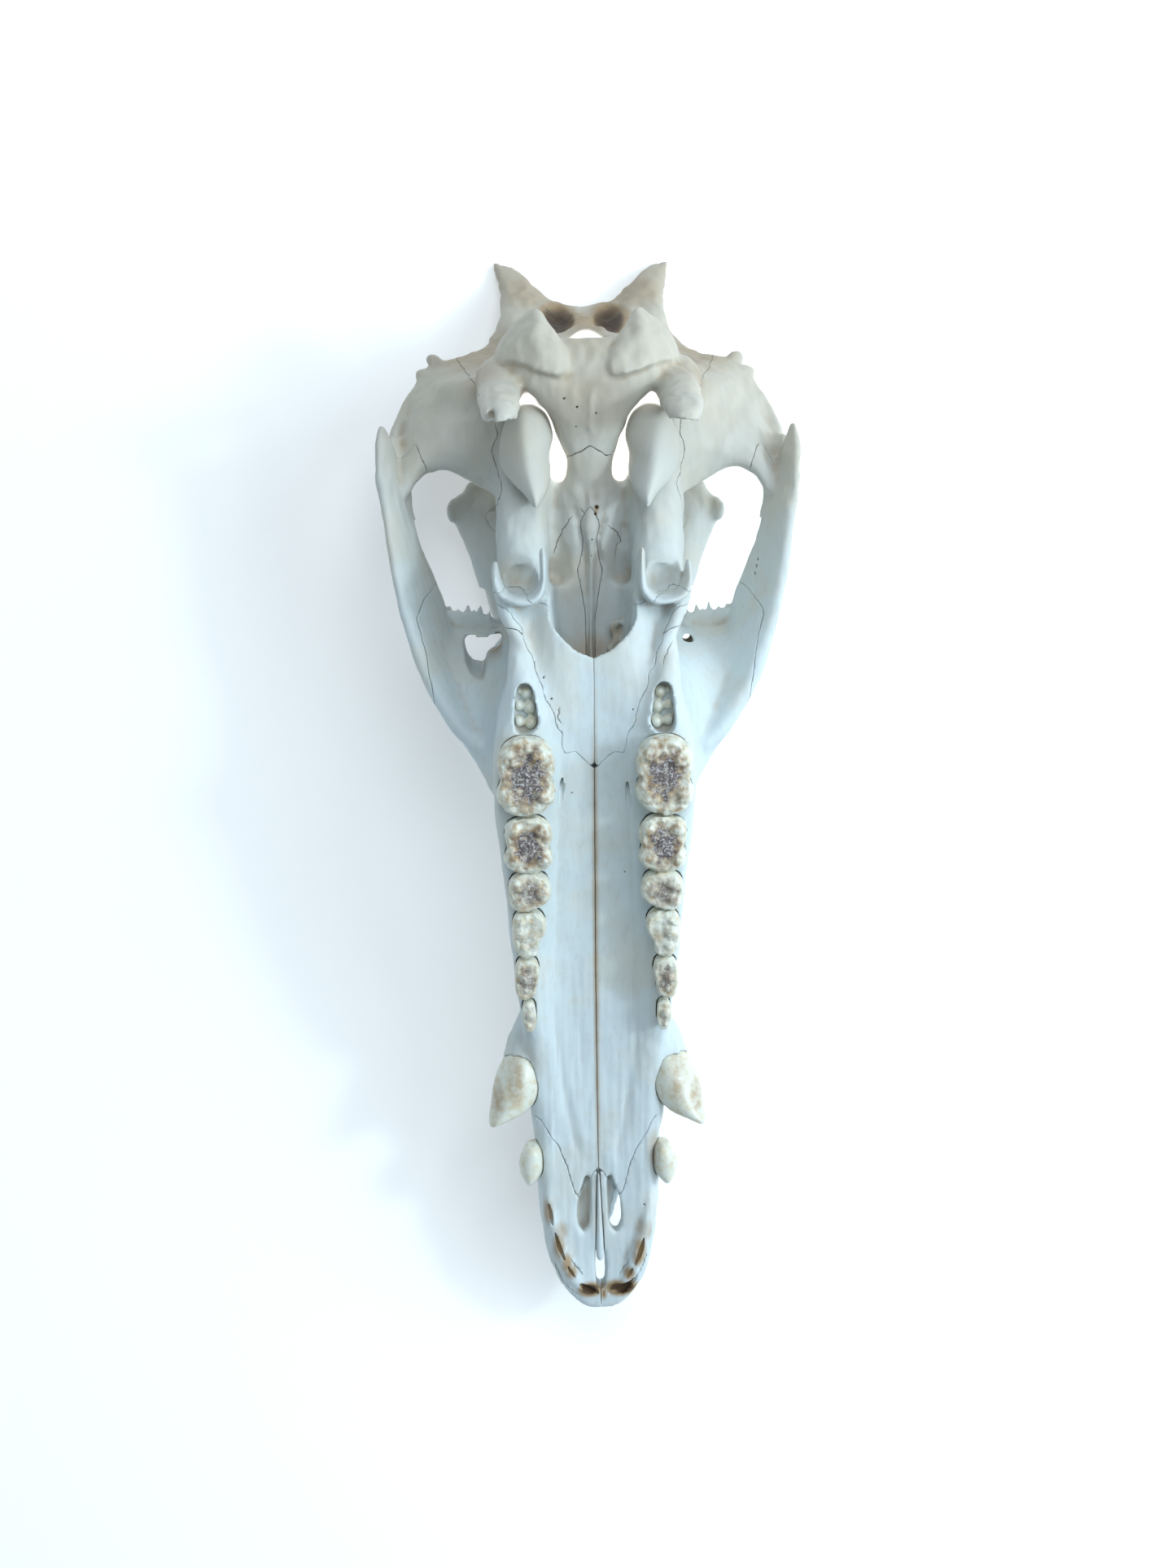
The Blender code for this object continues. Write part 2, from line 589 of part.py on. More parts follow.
def choana():
    """The passage behind the palate, blind at its front end."""
    return slices("choana", 'y', [
        (0, [(0, -27), (3.5, -26), (5.5, -21), (5.5, -15), (3.5, -11.5), (0, -11)]),
        (18, [(0, -31), (6, -30), (9, -24), (9, -16), (6, -10.5), (0, -9.5)]),
        (34, [(0, -34.5), (7.5, -33.5), (10.2, -26), (10.4, -16), (7, -9), (0, -7.8)]),
        (46, [(0, -36), (8, -35), (11, -28), (11.4, -16), (11.2, -6), (0, 8)]),
        (56, [(0, -36.5), (7.8, -35.5), (10.6, -29), (12, -18), (13, -2), (0, 12)]),
        (68, [(0, -35.6), (5.6, -35.2), (9.2, -29.6), (11.8, -19), (14.4, -2), (0, 12)]),
        (80, [(0, -32.8), (4.8, -32.4), (8.8, -28), (12.4, -20), (16, -4), (0, 10)]),
        (90, [(0, -29.2), (4, -29), (8, -26.8), (12, -21), (16, -6), (0, 8)]),
        (98, [(0, -27.4), (4, -27.3), (7, -26.4), (10, -24), (12, -14), (0, 2)]),
    ], count=44, around=44, mirror=True)


def choana_mouth():
    """The open floor of the passage, a rounded V in plan."""
    half = [(0, 35.2), (1.6, 37.0), (4.4, 39.2), (7.4, 40.8), (9.6, 43.5), (11.2, 48), (12.2, 54), (12.6, 62),
            (12.4, 74), (9, 82), (0, 84)]
    return prism("choana_mouth", mirrored_outline(half), -24, 8)


def basal_slit():
    """The gap beside the base, round the inner side of the right bulla."""
    return limb("slit", [
        (9.0, 84.8, -30, 2.1, 26), (9.3, 88.5, -30, 2.7, 26), (10.0, 92.6, -30, 2.1, 26),
        (10.7, 96.2, -30, 1.2, 26),
        (11.9, 100.4, -30, 0.9, 26), (13.8, 103.8, -30, 0.9, 26), (17.2, 105.8, -30, 0.8, 20),
    ], count=30, power=3)


def pterygoid_fossa():
    """The right pocket between the palate's hook and the steep front edge of the buttress."""
    return slices("fossa", 'x', [
        (14.9, [(60.6, -16), (60, -17.2), (58.6, -17.6), (56.6, -17), (55.8, -14), (56, -9), (59.4, -5),
                (61, -11)]),
        (16.6, [(62.2, -16), (61.4, -18.4), (60, -19.8), (55.8, -20.2), (53.8, -16), (53.8, -8), (60, -2),
                (62.6, -9)]),
        (20.4, [(61.8, -16), (61, -18.8), (60, -20.6), (55.2, -21), (53.2, -16), (53.2, -8), (60, -2),
                (62.2, -9)]),
        (24.0, [(61, -16), (60.4, -18.6), (59.6, -20.2), (56, -20.6), (54.2, -16), (54.2, -8), (59.4, -2),
                (61.4, -9)]),
        (26.2, [(59.4, -16), (59, -18), (58.6, -19), (57.6, -18.4), (57.2, -14), (57.2, -9), (58.8, -4),
                (59.8, -10)]),
    ], count=18, around=36)


def foramen_magnum():
    """The opening for the spinal cord, and the part of the brain's hollow that it shows."""
    return limb("foramen", [
        (0, 146, -47, 24, 20), (0, 134, -49, 15, 14.4), (0, 126.5, -50, 10, 12), (0, 119, -50, 8.0, 11),
        (0, 108, -58, 13, 15), (0, 96, -63, 16, 18), (0, 86, -65, 11, 13),
    ], around=32)


def nuchal_hollow():
    """The right hollow in the back of the head, beside the middle pillar."""
    return blob("nuchal_hollow", (7.6, 131.8, -86), (5.5, 8.0, 22.5), turn=(15, 0, 0))


def orbit_front():
    """The front of the right orbit, over its thin floor and under the brow."""
    return slices("orbit", 'y', [
        (24.5, [(35, -78), (44, -80), (52, -76), (52, -66), (44, -62), (36, -64)]),
        (28, [(30.5, -84), (46, -90), (60, -86), (60, -66), (46, -58.5), (31.5, -62)]),
        (33, [(30, -88), (46, -96), (64, -90), (64, -66), (48, -56.5), (30, -59)]),
        (39, [(33, -88), (46, -96), (64, -90), (64, -66), (50, -56.5), (30.5, -58)]),
        (46, [(35, -88), (46, -96), (64, -90), (64, -66), (51, -56.5), (31, -58)]),
    ], count=16, around=36)


def orbit_floor_hole():
    """The ragged hole through the floor of the left orbit."""
    outline = [(-26.4, 36.0), (-31.6, 34.6), (-37.4, 35.2), (-37.6, 31), (-35.8, 26.6), (-32.2, 25.0),
               (-31.2, 28.8), (-27.2, 30.4)]
    return prism("orbit_hole", eased(outline, 24, closed=True), -75, -25)


def palatine_fissure():
    outline = [(2.7, -120.8), (3.6, -121.4), (5.2, -126), (6.4, -131), (6.7, -137), (5.4, -140),
               (3.9, -139.6), (2.9, -136), (2.6, -128)]
    return prism("fissure", eased(outline, 30, closed=True), -22, 4)


def fissure_shelves():
    """Thin bone in the palatine fissures, which fills the left one and half of the right one."""
    return [
        limb("shelf", [(-4.2, -117, -8.6, 2.4, 0.8), (-4.7, -127, -8.8, 2.9, 0.8),
                       (-4.9, -134, -9.0, 3.0, 0.8), (-4.8, -141.5, -9.2, 2.6, 0.8)]),
        limb("shelf", [(4.2, -117, -8.6, 2.4, 0.8), (3.9, -124, -8.8, 2.0, 0.8), (3.4, -130, -9.0, 1.3, 0.8),
                       (2.9, -136, -9.2, 0.6, 0.7)]),
    ]


def interincisive_gap():
    """The gap between the two halves of the snout's tip, where the vomer ends."""
    half = [(0, -158.6), (1.2, -158.2), (1.5, -153), (1.5, -147.5), (1.3, -145.4), (0, -145)]
    return prism("gap", mirrored_outline(half), -22, 4)


def molar_crypt():
    """The right crypt of the last molar, which hasn't come through."""
    outline = [(19.8, 29.4), (17.6, 27.6), (16.6, 22), (16.0, 17.5), (18.0, 14.8), (21.6, 14.6),
               (22.9, 18), (22.6, 23), (21.8, 28)]
    return prism("crypt", eased(outline, 24, closed=True), -5.5, 6)


# Bodies that stay apart from the skull's own

def bulla(grow=0.0):
    """The right tympanic bulla; grown, it is the seat that it stands in."""
    rows = [
        (105.4, [(15.4, -42), (15.8, -38), (17.6, -36.5), (20, -38), (21, -42), (18, -47)]),
        (102.4, [(12.8, -43), (13, -34.5), (18.6, -30.5), (22.2, -34), (23.4, -41), (18, -50)]),
        (96.5, [(11.4, -42), (11.4, -31.5), (18.6, -25), (23.8, -30.5), (25.4, -38), (18, -50)]),
        (91, [(12.3, -42), (12.4, -29), (18.2, -21.5), (24.4, -28.5), (26, -35.5), (18, -50)]),
        (87, [(12.0, -40), (12.1, -26), (17.8, -19), (23.2, -26.5), (25.2, -33.5), (18, -48)]),
        (83, [(12.2, -36), (12.4, -22), (16.9, -16.5), (20.5, -22.5), (22.0, -29.5), (17, -42)]),
        (80, [(13.4, -31), (13.6, -19.5), (16.2, -15), (18.2, -19.5), (18.8, -27), (16, -35)]),
        (77.4, [(15, -22), (15.2, -17.4), (15.9, -15.4), (16.6, -17.4), (16.8, -22), (15.9, -25)]),
    ]
    ends = {rows[0][0]: grow, rows[-1][0]: -grow}
    return slices("bulla", 'y', [(y + ends.get(y, 0), let_out(outline, grow)) for y, outline in rows],
                  count=40, around=36)


def canine(grow=0.0):
    """The right upper canine, a short broad leaf turned outwards; grown, it is its socket."""
    rows = [
        (-80.6, [(20.6, -16), (20.8, -12), (22.4, -11), (24.0, -12), (24.2, -16), (22.4, -18)]),
        (-83.6, [(19.4, -14), (19.6, -8.4), (22.2, -6.8), (25.4, -8.6), (26.0, -13), (22.5, -18)]),
        (-86, [(18.0, -14), (18.2, -7), (21.8, -4.0), (26.4, -6.8), (27.4, -12.6), (22.5, -18)]),
        (-90, [(17.4, -13), (17.4, -5.6), (22.2, -1.8), (27.8, -4.6), (29.6, -10.4), (23, -17)]),
        (-94, [(17.4, -11.6), (17.5, -4.6), (23.4, -0.8), (29.2, -3.4), (30.8, -8.4), (24, -14.6)]),
        (-98, [(18.8, -9.6), (19.2, -3.8), (25.2, -0.2), (30.2, -2.6), (31.4, -7), (25.6, -12)]),
        (-101.2, [(21.8, -7.4), (22.2, -3.2), (27.4, 0.2), (31.2, -1.8), (32.0, -5.6), (27.4, -9.4)]),
        (-103.2, [(26.0, -5.8), (26.4, -2.6), (29.6, 0.2), (31.8, -1.4), (32.3, -4.4), (29.8, -7)]),
        (-104.6, [(29.6, -4), (29.8, -2.4), (30.8, -0.8), (31.9, -1.8), (32.1, -3.6), (30.9, -5)]),
    ]
    ends = {rows[0][0]: grow, rows[-1][0]: -grow}
    return slices("canine", 'y', [(y + ends.get(y, 0), let_out(outline, grow)) for y, outline in rows],
                  count=44, around=36)


def vomer_tip(grow=0.0):
    """The end of the vomer, a long wedge between the two halves of the snout's tip."""
    return limb("vomer_tip", [(0, y, z, w + grow, h + grow) for y, z, w, h in (
        (-121.5, -5.6, 0.3, 1.3), (-128, -5.4, 0.6, 1.4), (-135, -5.2, 0.85, 1.5), (-142, -5.0, 1.15, 1.5),
        (-147.2, -4.9, 1.2, 1.4), (-148.4, -4.8, 0.9, 1.2))])


def third_incisor(grow=0.0):
    """The right outer incisor, a lobed oval that stands out from the side of the snout."""
    return slices("incisor", 'y', [(y, let_out(outline, grow)) for y, outline in (
        (-111.8 + grow, [(18.4, -8), (18.6, -4), (19.8, -3), (21.0, -4), (21.2, -8), (19.8, -10)]),
        (-113.6, [(16.4, -11), (17.6, -3), (19.8, -1.4), (22.2, -3), (22.4, -7), (18.8, -13)]),
        (-117.4, [(15.4, -13), (17.2, -3), (20.2, -0.8), (23.0, -2.6), (23.4, -6.6), (18.6, -14)]),
        (-120.6, [(15.8, -13), (17.6, -3), (20.4, -0.9), (22.8, -2.8), (23.0, -6.6), (18.8, -13)]),
        (-122.8, [(17.8, -9), (18.8, -3.4), (20.6, -1.4), (22.2, -3.4), (22.2, -6.6), (20, -10)]),
        (-124.2 - grow, [(19.6, -6.6), (19.8, -4), (20.6, -3), (21.4, -4), (21.4, -6.4), (20.6, -7.4)]),
    )], count=34, around=32)


# Crowns of the right cheek teeth, from the back: outline, height, and cusps as (x, y, radius, lower by)
CHEEK_TEETH = [
    ([(19.8, 15.2), (14.5, 13.9), (11.9, 10.0), (11.5, 5.1), (12.4, 2.4), (11.1, -0.9), (12.5, -4.4),
      (15.8, -7.2),
      (20.0, -8.0), (24.8, -7.4), (27.6, -3.4), (28.1, -0.6), (27.0, 2.4), (27.9, 6.4), (26.6, 11.8),
      (23.6, 14.4)], 9.6, [
        (15.6, 9.6, 3.5, 0), (24.2, 8.6, 3.6, 0.2), (14.9, -1.8, 3.5, 0), (24.8, -2.2, 3.5, 0.2),
          (19.6, 4.0, 2.2, 1.4),
        (19.0, 12.8, 1.9, 1.6), (22.6, 13.0, 1.4, 2.0), (16.2, 13.2, 1.3, 2.4), (19.6, -6.0, 2.0, 1.4),
        (15.6, 3.6, 1.3, 2.2), (24.6, 3.4, 1.4, 2.2), (20.2, -1.6, 1.4, 2.0)]),
    ([(20.1, -8.3), (15.3, -8.8), (12.5, -12.2), (12.4, -15.2), (13.3, -17.4), (12.3, -20.0), (13.0, -22.8),
      (15.4, -24.4), (20.3, -25.2), (25.0, -23.6), (26.2, -20.2), (25.4, -17.2), (26.2, -13.4),
      (24.6, -9.8)], 8.8, [
        (15.4, -12.2, 3.0, 0), (23.4, -12.0, 3.0, 0.2), (15.2, -20.6, 3.0, 0), (23.2, -20.4, 3.0, 0.2),
        (19.2, -16.2, 1.7, 1.4), (19.2, -9.8, 1.4, 1.4), (19.2, -23.6, 1.4, 1.6), (15.2, -16.4, 1.0, 2.0)]),
    ([(20.6, -24.7), (14.6, -26.0), (12.9, -29.2), (13.4, -33.0), (17.2, -35.4), (21.7, -36.6), (24.4, -34.8),
      (25.3, -31.1), (24.6, -26.8)], 8.8, [
        (22.2, -28.2, 2.5, 0), (22.4, -33.2, 2.4, 0.2), (16.2, -30.2, 2.8, 0.6), (18.8, -26.4, 1.3, 1.6),
        (18.6, -34.4, 1.2, 1.8)]),
    ([(20.2, -36.6), (16.8, -36.6), (14.4, -39.4), (14.8, -43.0), (16.4, -45.6), (17.2, -49.6), (20.0, -50.6),
      (22.6, -49.4), (24.2, -45.4), (24.2, -39.6), (22.8, -37.0)], 8.2, [
        (21.6, -42.8, 2.3, 0), (21.6, -39.4, 1.8, 0.8), (21.0, -47.0, 1.8, 0.8), (17.0, -40.2, 2.0, 1.8),
        (18.6, -48.6, 1.1, 2.6)]),
    ([(20.2, -50.8), (17.4, -51.6), (16.4, -54.8), (17.2, -58.6), (18.0, -62.2), (21.4, -63.6), (23.4, -61.6),
      (23.8, -57.0), (23.2, -52.0)], 7.0, [
        (21.0, -56.6, 1.9, 0), (21.4, -53.2, 1.3, 1.0), (20.8, -60.4, 1.5, 1.0), (18.2, -54.0, 1.0, 2.0)]),
    ([(20.0, -64.2), (18.2, -65.0), (17.6, -68.4), (17.9, -71.8), (19.4, -73.8), (21.0, -72.4), (21.9, -68.4),
      (21.5, -65.2)], 5.0, [(19.9, -68.2, 1.4, 0), (20.0, -71.4, 1.0, 0.9), (20.0, -65.8, 0.9, 1.1)]),
]


def crown_body(outline, top):
    """The crown under its cusps and the root end that is sunk in the jaw."""
    around = int(2.5 * len(outline))
    middle = [sum(values) / len(outline) for values in zip(*outline)]
    rings = []
    for z, share in ((-7, 0.7), (-3, 0.86), (0.5, 0.95), (3, 1.0), (top - 3.0, 0.97), (top - 1.9, 0.86)):
        points = [[m + (v - m) * share for v, m in zip(point, middle)] for point in outline]
        rings.append([(x, y, z) for x, y in eased(points, around, closed=True)])
    return skin("crown", rings)


def cheek_tooth(outline, top, cusps, draw):
    """One crown, with blunt cusps."""
    pieces = [crown_body(outline, top)]
    for x, y, r, lower in cusps:
        lean = (draw.uniform(-8, 8), draw.uniform(-8, 8), draw.uniform(0, 90))
        stretch = draw.uniform(0.88, 1.12)
        pieces.append(blob("cusp", (x, y, top - 1.5 * r - lower), (r * stretch, r / stretch, 1.5 * r),
                           lean, 2))
    faces = FACES_PER_CUSP * (2 + len(cusps))
    return thinned(fused("tooth", pieces, TOOTH_VOXEL, TOOTH_PASSES), faces)


def cheek_teeth():
    """The six right cheek teeth, which don't touch each other."""
    draw = random.Random(7)
    return [cheek_tooth(*row, draw) for row in CHEEK_TEETH]


def joined(name, obj, pieces):
    """A node's body with the pieces that grow from it, by one union."""
    growth = bpy.data.collections.new("growth")
    bpy.context.scene.collection.children.link(growth)
    for piece in pieces:
        growth.objects.link(piece)
    union = obj.modifiers.new("join", 'BOOLEAN')
    union.operation = 'UNION'
    union.solver = 'MANIFOLD'
    union.operand_type = 'COLLECTION'
    union.collection = growth
    applied(obj)
    for piece in pieces:
        bpy.data.objects.remove(piece)
    bpy.data.collections.remove(growth)
    obj.name = name
    return obj


def whole_skull():
    """The skull in one piece, with its hollows."""
    masses = [face_body(), roof(), braincase(), basicranium(), nuchal_plate()]
    masses += both(cheek(), squamosal_shelf(), pterygoid_mass(), tuber())
    core = fused("core", masses, CORE_VOXEL, CORE_PASSES)
    forms = [core, premaxilla_body(), nasal_tips(), vomer_keel()]
    forms += both(jugal(), squamosal_bar(), condyle_root(), paracondylar(), postorbital(), brow(),
                  canine_socket(),
                  nasal_process(), palatine_ridge(), temporal_ridge(), crest_tip(), *crest_knobs())
    body = fused("skull", forms, SKULL_VOXEL, SKULL_PASSES)
    hollows = [nasal_cavity(), foramen_magnum(), interincisive_gap(), orbit_floor_hole()]
    hollows += both(basal_slit(), pterygoid_fossa(), nuchal_hollow(), palatine_fissure(), molar_crypt(),
                    orbit_front())
    passage = cut(fused("passage", [choana(), choana_mouth()], CUTTER_VOXEL, 1), vomer_keel(), 'DIFFERENCE')
    cut(body, fused("hollows", hollows, CUTTER_VOXEL, 1), 'DIFFERENCE')
    cut(body, passage, 'DIFFERENCE')
    crisp = [body, *fissure_shelves()] + both(condyle(), pterygoid_rim(), socket_border(), orbit_edge())
    body = largest(fused("skull", crisp, EDGE_VOXEL, EDGE_PASSES))
    return thinned(body, SKULL_FACES)


# The sutures

def territory(name, axis, stations, grow):
    """The space of one bone: straight between outlines, and let out on every side by a distance."""
    rings = []
    for k, (place, outline) in enumerate(stations):
        end = -1 if k == 0 else 1 if k == len(stations) - 1 else 0
        rings.append([along(axis, place + end * grow, a, b) for a, b in let_out(outline, grow)])
    return skin(name, rings)


def box_row(x0, x1, z0, z1):
    return [(x0, z0), (x1, z0), (x1, z1), (x0, z1)]


def plan_stations(outline, low, high):
    return [(low, outline), (high, outline)]


NASAL = ('y', [
    (-158, box_row(0, 4, -48, -28)), (-150, box_row(0, 7, -49, -29)), (-140, box_row(0, 10.4, -50, -31.6)),
    (-128, box_row(0, 11.6, -52, -33.6)), (-112, box_row(0, 11.4, -55, -36.4)),
    (-60, box_row(0, 11.5, -66, -47)), (-5, box_row(0, 12.5, -78, -59.4)), (6, box_row(0, 4, -80, -62)),
])
PREMAXILLA = ('z', [
    (-40, [(0, -172), (40, -172), (40, -77), (16, -77), (12, -77), (9, -77), (6.5, -77), (0, -77)]),
    (-30, [(0, -172), (40, -172), (40, -87), (16, -87), (12, -87), (9, -87), (6.5, -87), (0, -87)]),
    (-16, [(0, -172), (40, -172), (40, -98), (16, -98), (12, -98), (9, -98), (6.5, -98), (0, -98)]),
    (-12, [(0, -172), (40, -172), (40, -100.5), (17.5, -101.5), (13, -107), (9.6, -112), (6.4, -116),
           (0, -114)]),
    (-9, [(0, -172), (40, -172), (40, -102), (17.5, -103), (12.4, -111.4), (9.2, -119.6), (6.2, -130),
          (0, -118)]),
    (8, [(0, -172), (40, -172), (40, -102), (17.5, -103), (12.4, -111.4), (9.2, -119.6), (6.2, -130),
         (0, -118)]),
])
FRONTAL = ('y', [
    (-14, box_row(0, 14, -95, -58)), (-4, box_row(0, 19, -95, -59.5)), (10, box_row(0, 25, -100, -62.5)),
    (22, box_row(0, 30, -100, -65.5)), (30, box_row(0, 52, -100, -66.5)), (60, box_row(0, 52, -105, -72)),
    (79, box_row(0, 52, -110, -79)),
])
LACRIMAL = ('y', [(13, box_row(22, 46, -80, -55)), (44, box_row(22, 46, -80, -55))])
ZYGOMATIC = ('y', [
    (8, box_row(44.8, 72, -75, 0)), (20, box_row(46.4, 72, -75, 0)), (33, box_row(48.4, 72, -75, 0)),
    (44, box_row(51.4, 72, -75, 0)), (48, box_row(49.6, 72, -75, 0)), (52, box_row(44, 72, -75, 0)),
    (61, box_row(44, 72, -51, 0)), (84, box_row(48, 72, -51, 0)), (102, box_row(54, 72, -51, 0)),
])
PALATINE = ('z', plan_stations([
    (0, 2.6), (2.0, 5.2), (4.4, 7.4), (6.0, 9.6), (7.4, 8.2), (8.8, 8.0), (9.1, 11.5), (9.1, 14.2),
    (10.8, 15.8),
    (11.4, 18.5), (13.0, 23), (15, 28), (18, 36.5), (20.6, 44), (24, 49), (30.5, 51.5), (26, 55),
    (19.5, 53.4), (17, 51.4), (14.5, 50.2), (11, 49), (0, 49),
], -27, 8))
MAXILLA = ('z', plan_stations([
    (0, -128), (60, -128), (60, 56), (40, 56), (38, 44), (22, 44), (17, 39), (12.5, 34), (11.5, 23), (0, 23),
], -80, 8))
SQUAMOSAL = ('z', plan_stations([
    (28.6, 70), (72, 70), (72, 108), (54, 117), (46, 121), (41, 118.4), (35, 112), (31, 108.4),
    (27.6, 101), (26.6, 96), (28.4, 92), (27.4, 86.6), (25.4, 82), (27.4, 76),
], -95, -20))
PARIETAL = ('y', [
    (78, box_row(-40, 40, -125, -82)), (100, box_row(-40, 40, -125, -89)), (121, box_row(-40, 40, -125, -96)),
])
VOMER = ('z', plan_stations(mirrored_outline(
    [(0, 24), (1.3, 24), (1.4, 43), (2.6, 51), (3.7, 56.6), (2.7, 60.2), (1.9, 65.6), (2.9, 70.4),
     (1.3, 74.4), (0, 76)]),
    -38.6, -26))
OCCIPITAL = ('z', plan_stations(mirrored_outline(
    [(0, 94), (1.4, 92.8), (3.6, 91.6), (6.8, 90.6), (12, 94.6), (17, 103), (27, 103), (60, 97), (60, 165),
     (0, 165)]),
    -135, 12))


def flipped(stations):
    """The stations of the left side's bone."""
    axis, rows = stations
    return (axis, [(place, [(-a, b) for a, b in outline]) for place, outline in rows])


def taken(body, name, space):
    """The bone that lies in a space, taken from the body with a thin gap round it."""
    bone = copied(body)
    cut(bone, territory("inner", *space, -SUTURE / 2), 'INTERSECT')
    cut(body, territory("outer", *space, SUTURE / 2), 'DIFFERENCE')
    bone.name = name
    return largest(bone)


def parted(body):
    """The skull's bones, by name."""
    bones = {}

    def take(name, space, sides=("right", "left")):
        for side in sides:
            key = f"{name}_{side}" if side else name
            bones[key] = taken(body, key, flipped(space) if side == "left" else space)

    take("nasal", NASAL)
    take("premaxilla", PREMAXILLA)
    take("frontal", FRONTAL)
    take("lacrimal", LACRIMAL)
    take("zygomatic", ZYGOMATIC)
    take("palatine", PALATINE)
    take("maxilla", MAXILLA)
    take("squamosal", SQUAMOSAL)
    take("parietal", PARIETAL, sides=("",))
    take("vomer", VOMER, sides=("",))
    take("occipital", OCCIPITAL, sides=("",))
    bones["sphenoid"] = largest(body)
    body.name = "sphenoid"
    return bones


def painted(obj, colour, roughness):
    """The object's own material."""
    material = bpy.data.materials.new(obj.name)
    material.use_nodes = True
    shader = material.node_tree.nodes["Principled BSDF"]
    shader.inputs["Base Color"].default_value = (*colour, 1)
    shader.inputs["Roughness"].default_value = roughness
    shader.inputs["Metallic"].default_value = 0.0
    obj.data.materials.clear()
    obj.data.materials.append(material)


def swayed(objects):
    """Bends the front of the snout slightly to the animal's right."""
    for obj in objects:
        for vert in obj.data.vertices:
            forward = max(0, SWAY_START - vert.co.y / MM) / (SWAY_START - SNOUT_TIP)
            vert.co.x += SNOUT_SWAY * forward ** 1.5 * MM


def rested(objects):
    """Rolls the skull onto its crest tips and nasal tips, and stands it on small flats at the floor."""
    tilt = math.atan2(CREST_TIP[2] - NASAL_TIP[2], CREST_TIP[1] - NASAL_TIP[1])
    roll = Matrix.Rotation(-tilt, 4, 'X')
    for obj in objects:
        obj.data.transform(roll)
    low = min(vert.co.z for obj in objects for vert in obj.data.vertices) + FOOT_FLAT * MM
    floor = Vector((0, 0, low))
    for obj in objects:
        if min(vert.co.z for vert in obj.data.vertices) >= low:
            continue
        bm = bmesh.new()
        bm.from_mesh(obj.data)
        whole = bm.verts[:] + bm.edges[:] + bm.faces[:]
        edge = bmesh.ops.bisect_plane(bm, geom=whole, plane_co=floor, plane_no=(0, 0, -1), clear_outer=True)
        rim = [item for item in edge["geom_cut"] if isinstance(item, bmesh.types.BMEdge)]
        bmesh.ops.triangle_fill(bm, edges=rim, use_beauty=True)
        bmesh.ops.triangulate(bm, faces=bm.faces)
        bmesh.ops.recalc_face_normals(bm, faces=bm.faces)
        bm.to_mesh(obj.data)
        bm.free()
    points = [vert.co for obj in objects for vert in obj.data.vertices]
    middle = [(min(p[i] for p in points) + max(p[i] for p in points)) / 2 for i in (0, 1)]
    for obj in objects:
        obj.data.transform(Matrix.Translation((-middle[0], -middle[1], -low)))


def main():
    for obj in list(bpy.data.objects):
        bpy.data.objects.remove(obj)
    body = whole_skull()
    for seat in both(bulla(SUTURE), canine(SUTURE)) + [vomer_tip(SUTURE)]:
        cut(body, seat, 'DIFFERENCE')
    bones = parted(body)
    for bone in bones.values():
        thinned(bone, share=BONE_SHARE)

    teeth = cheek_teeth()
    for side, row in (("left", [other_side(tooth) for tooth in teeth]), ("right", teeth)):
        joined(f"maxilla_{side}", bones[f"maxilla_{side}"], row)
    incisor = thinned(third_incisor(), INCISOR_FACES)
    joined("premaxilla_left", bones["premaxilla_left"], [other_side(incisor)])
    joined("premaxilla_right", bones["premaxilla_right"], [incisor])
    for name, piece in (("tympanic_bulla", thinned(bulla(), BULLA_FACES)),
                        ("canine", thinned(canine(), CANINE_FACES))):
        bones[f"{name}_left"] = other_side(piece)
        bones[f"{name}_right"] = piece
    bones["vomer_tip"] = thinned(vomer_tip(), VOMER_TIP_FACES)

    for name, bone in bones.items():
        bone.name = name
        enamel = name.startswith("canine")
        painted(bone, ENAMEL if enamel else SHADED_BONE if name == "vomer" else BONE, 0.35 if enamel else 0.6)
    swayed(bones.values())
    rested(bones.values())


main()
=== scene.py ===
"""Wild boar skull lying palate up: the looks around its packed bones.

Shapes are written in millimetres in the skull's own frame: x to the animal's right, y back towards the
occiput, z down through the palate. PLACE takes that frame to the floor, in metres.
"""
import math
import random

import bmesh
import bpy
import numpy as np
from bpy.props import FloatProperty, FloatVectorProperty, PointerProperty
from mathutils import Euler, Matrix, Vector, noise
from mathutils.bvhtree import BVHTree


